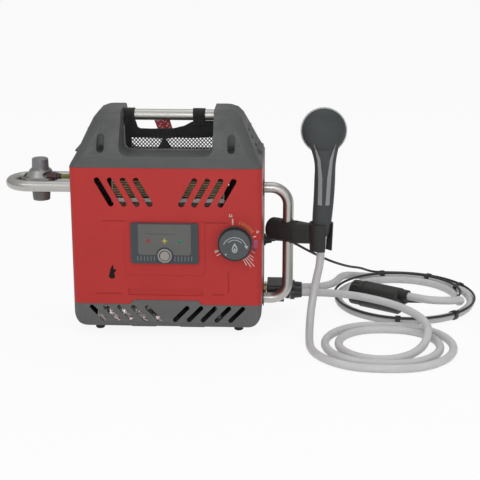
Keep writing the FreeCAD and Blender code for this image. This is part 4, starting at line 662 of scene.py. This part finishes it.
def make_pouch():
    """The band with its two ends, the mound in its middle and its loops, and the net under it."""
    upper = [(-77.4, 359.2), (-59.0, 359.2), (-55.0, 347.5), (-50.5, 345.2), (-30, 344.8), (5.6, 345.6),
             (22.7, 349.5), (40.8, 358), (61.8, 359.4), (77.4, 359.4)]
    lower = [(-77.4, 329.4), (-30, 328.4), (-9, 327.2), (12, 329.4), (36, 328.6), (77.4, 331.2)]
    columns, steps = 110, 8
    band = []
    for j in range(steps + 1):
        row = []
        for i in range(columns + 1):
            x = -BAND_HALF + 2 * BAND_HALF * i / columns
            z = along(upper, x) + (along(lower, x) - along(upper, x)) * j / steps
            row.append(place(x, cloth_y(x, z), z))
        band.append(row)
    patches = [band]
    for x0, x1 in ((-77.2, NET_X[0] + 1.5), (NET_X[1] - 1.5, 77.2)):
        gusset = []
        for i in range(5):
            x = x0 + (x1 - x0) * i / 4
            low = opening_floor(x)
            gusset.append([place(x, cloth_y(x, z), z) for z in (low, (low + 330) / 2, 330)])
        patches.append(gusset)
    mound = []
    for i in range(13):
        x = MOUND_X + MOUND_HALF * (i / 6 - 1)
        low = opening_floor(x)
        top = low + (NET_TOP - low) * (1 - abs(i / 6 - 1)) ** 0.75
        mound.append([place(x, BAND_Y + 1.6, low + (top - low) * j / 4) for j in range(5)])
    patches.append(mound)
    for x0, x1 in LOOPS:
        loop = []
        for i in range(7):
            x = x0 + (x1 - x0) * i / 6
            row = [place(x, BAND_Y - 1.4, LOOP_FOOT_Z)]
            for k in range(21):
                a = math.radians(250 - 320 * k / 20)
                r = TUBE_R + 1.3 + 0.2 * math.sin(x * 0.9 + k * 0.7)
                row.append(place(x, r * math.cos(a), RAIL_Z + r * math.sin(a)))
            row.append(place(x, BAND_Y + 1.4, LOOP_FOOT_Z))
            loop.append(row)
        patches.append(loop)
    cloth = sheet_object("pouch_cloth", patches, "web", BAND_T / 1000)
    net = make_net()
    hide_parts("pouch_band")
    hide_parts("pouch_net")


def make_net():
    """Crossing strands of the net, those of one way set 0.35 mm in front of the cloth and those of the
    other way 0.35 mm behind it.
    """
    data = bpy.data.curves.new("pouch_net_strands", "CURVE")
    data.dimensions = "3D"
    data.bevel_depth = NET_STRAND_R / 1000
    data.bevel_resolution = 1
    for way in (-1, 1):
        foot = NET_X[0] - NET_REACH
        while foot < NET_X[1] + NET_REACH:
            points = []
            for k in range(NET_STEPS + 1):
                z = SADDLE_Z + 1.0 + (NET_TOP + 0.6 - SADDLE_Z) * k / NET_STEPS
                x = foot + way * (z - SADDLE_Z) * NET_SLOPE
                if NET_X[0] <= x <= NET_X[1] and z >= opening_floor(x) - 0.4:
                    points.append(place(x, cloth_y(x, z) + way * 0.35, z))
            if len(points) > 1:
                spline = data.splines.new("POLY")
                spline.points.add(len(points) - 1)
                for p, co in zip(spline.points, points):
                    p.co = (co.x, co.y, co.z, 1.0)
            foot += NET_PITCH
    net = tube_mesh("pouch_net_strands", data)
    net.data.materials.append(finish["strand"])
    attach(net, "case")
    return net


STRAP_TOP = 359.0
STRAP_DROP = 24.5
STRAPS = ((-19.5, -10.0, 14.5), (-6.0, 1.5, 12.0))
FLECK_Y = -0.75


def make_straps():
    """Two woven straps behind the rail; each goes from its upper x to its lower x and has a width."""
    patches = []
    flecks = []
    for k, (xa, xb, width) in enumerate(STRAPS):
        rows = []
        for i in range(7):
            u = i / 6 - 0.5
            row = []
            for j in range(13):
                v = j / 12
                x = xa + (xb - xa) * v + u * width
                y = 0.0 + k * 2.0 + 0.4 * math.sin(v * 5 + k) + u * (0.9 - 1.8 * k)
                row.append(place(x, y, STRAP_TOP - STRAP_DROP * v))
            rows.append(row)
        patches.append(rows)
        for j in range(6):
            v = 0.08 + j * 0.15
            x = xa + (xb - xa) * v + (1.6 if j % 2 else -1.6)
            z = STRAP_TOP - STRAP_DROP * v
            flecks.append(bar((x - 1.4, z - 0.9), (x + 1.4, z + 0.9), 1.0))
    straps = sheet_object("red_straps", patches, "strap", 0.0012)
    prints("strap_flecks", "strap_fleck", flecks, FLECK_Y, "case")
    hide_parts("red_lanyard")


# Floor, room and light.
FLOOR_SIZE = 40
FLOOR_DROP = 0.0002
FLOOR_GLOW = 0.90
SKY_LOW, SKY_HIGH = 0.38, 0.66
LIGHT_AIM = (0, 0, 0.15)


def floor_material():
    """Pale floor that camera and gloss see almost white, with the object's shadow kept."""
    mat = bpy.data.materials.new("studio_floor")
    mat.use_nodes = True
    tree = mat.node_tree
    bsdf = tree.nodes["Principled BSDF"]
    bsdf.inputs["Base Color"].default_value = (0.86, 0.86, 0.86, 1)
    bsdf.inputs["Roughness"].default_value = 0.8
    rays = tree.nodes.new("ShaderNodeLightPath")
    glow = tree.nodes.new("ShaderNodeEmission")
    glow.inputs["Color"].default_value = (1, 1, 1, 1)
    seen = tree.nodes.new("ShaderNodeMath")
    seen.operation = "MAXIMUM"
    tree.links.new(rays.outputs["Is Camera Ray"], seen.inputs[0])
    tree.links.new(rays.outputs["Is Glossy Ray"], seen.inputs[1])
    share = tree.nodes.new("ShaderNodeMath")
    share.operation = "MULTIPLY"
    share.inputs[1].default_value = FLOOR_GLOW
    tree.links.new(seen.outputs[0], share.inputs[0])
    both = tree.nodes.new("ShaderNodeMixShader")
    tree.links.new(share.outputs[0], both.inputs[0])
    tree.links.new(bsdf.outputs[0], both.inputs[1])
    tree.links.new(glow.outputs[0], both.inputs[2])
    tree.links.new(both.outputs[0], tree.nodes["Material Output"].inputs["Surface"])
    return mat


def make_floor():
    bpy.ops.mesh.primitive_plane_add(size=FLOOR_SIZE, location=(0, 0, -FLOOR_DROP))
    floor = bpy.context.active_object
    floor.name = "studio_floor"
    floor.data.materials.append(floor_material())


def make_world():
    """A soft room, brighter overhead, that the camera itself sees as white."""
    world = bpy.data.worlds.new("studio")
    bpy.context.scene.world = world
    world.use_nodes = True
    tree = world.node_tree
    background = tree.nodes["Background"]
    coord = tree.nodes.new("ShaderNodeTexCoord")
    split = tree.nodes.new("ShaderNodeSeparateXYZ")
    tree.links.new(coord.outputs["Generated"], split.inputs[0])
    sky = spread(tree, split.outputs["Z"], SKY_LOW, SKY_HIGH, 0.0, 1.0)
    rays = tree.nodes.new("ShaderNodeLightPath")
    pick = tree.nodes.new("ShaderNodeMix")
    pick.data_type = "FLOAT"
    tree.links.new(rays.outputs["Is Camera Ray"], pick.inputs[0])
    tree.links.new(sky, pick.inputs[2])
    pick.inputs[3].default_value = 1.0
    tree.links.new(pick.outputs[0], background.inputs["Strength"])
    background.inputs["Color"].default_value = (1, 1, 1, 1)


def area_light(name, location, size, power):
    data = bpy.data.lights.new(name, "AREA")
    data.shape = "RECTANGLE"
    data.size, data.size_y = size
    data.energy = power
    obj = link(bpy.data.objects.new(name, data))
    obj.location = location
    look = Vector(LIGHT_AIM) - obj.location
    obj.rotation_euler = look.to_track_quat("-Z", "Y").to_euler()


make_camera()
hoses = (shower_hose(), pump_hose())
for hose in hoses:
    hose.data.materials.append(finish["hose"])
cable = pump_cable()
cable.data.materials.append(finish["cable"])

dress_nodes()
split_faces("status_lights", lambda at, n: 0 if at.x < -15 else (1 if at.x < 10 else 2),
            ("led_red", "led_yellow", "led_green"))
split_faces("temperature_dial", lambda at, n: 0 if n.y < -0.6 else 1, ("dial", "dial_edge"))
split_faces("display_frame",
            lambda at, n: 1 if at.y < LABEL_Y - 0.05 and abs(at.x - LABEL_X) > RIB_X else 0,
            ("frame", "frame_rib"))
dial_scale()
dial_face()
label_prints()
exchanger_flange()
make_pouch()
make_straps()

make_floor()
make_world()
area_light("key", (-1.3, -1.9, 2.0), (1.6, 1.2), 11)
area_light("front", (0.2, -2.2, 0.85), (0.8, 0.5), 11)
area_light("fill", (1.9, -1.5, 1.3), (1.4, 1.4), 7)
area_light("top", (0.1, 0.3, 2.3), (1.6, 1.6), 8)
bpy.context.scene.view_settings.view_transform = "Standard"
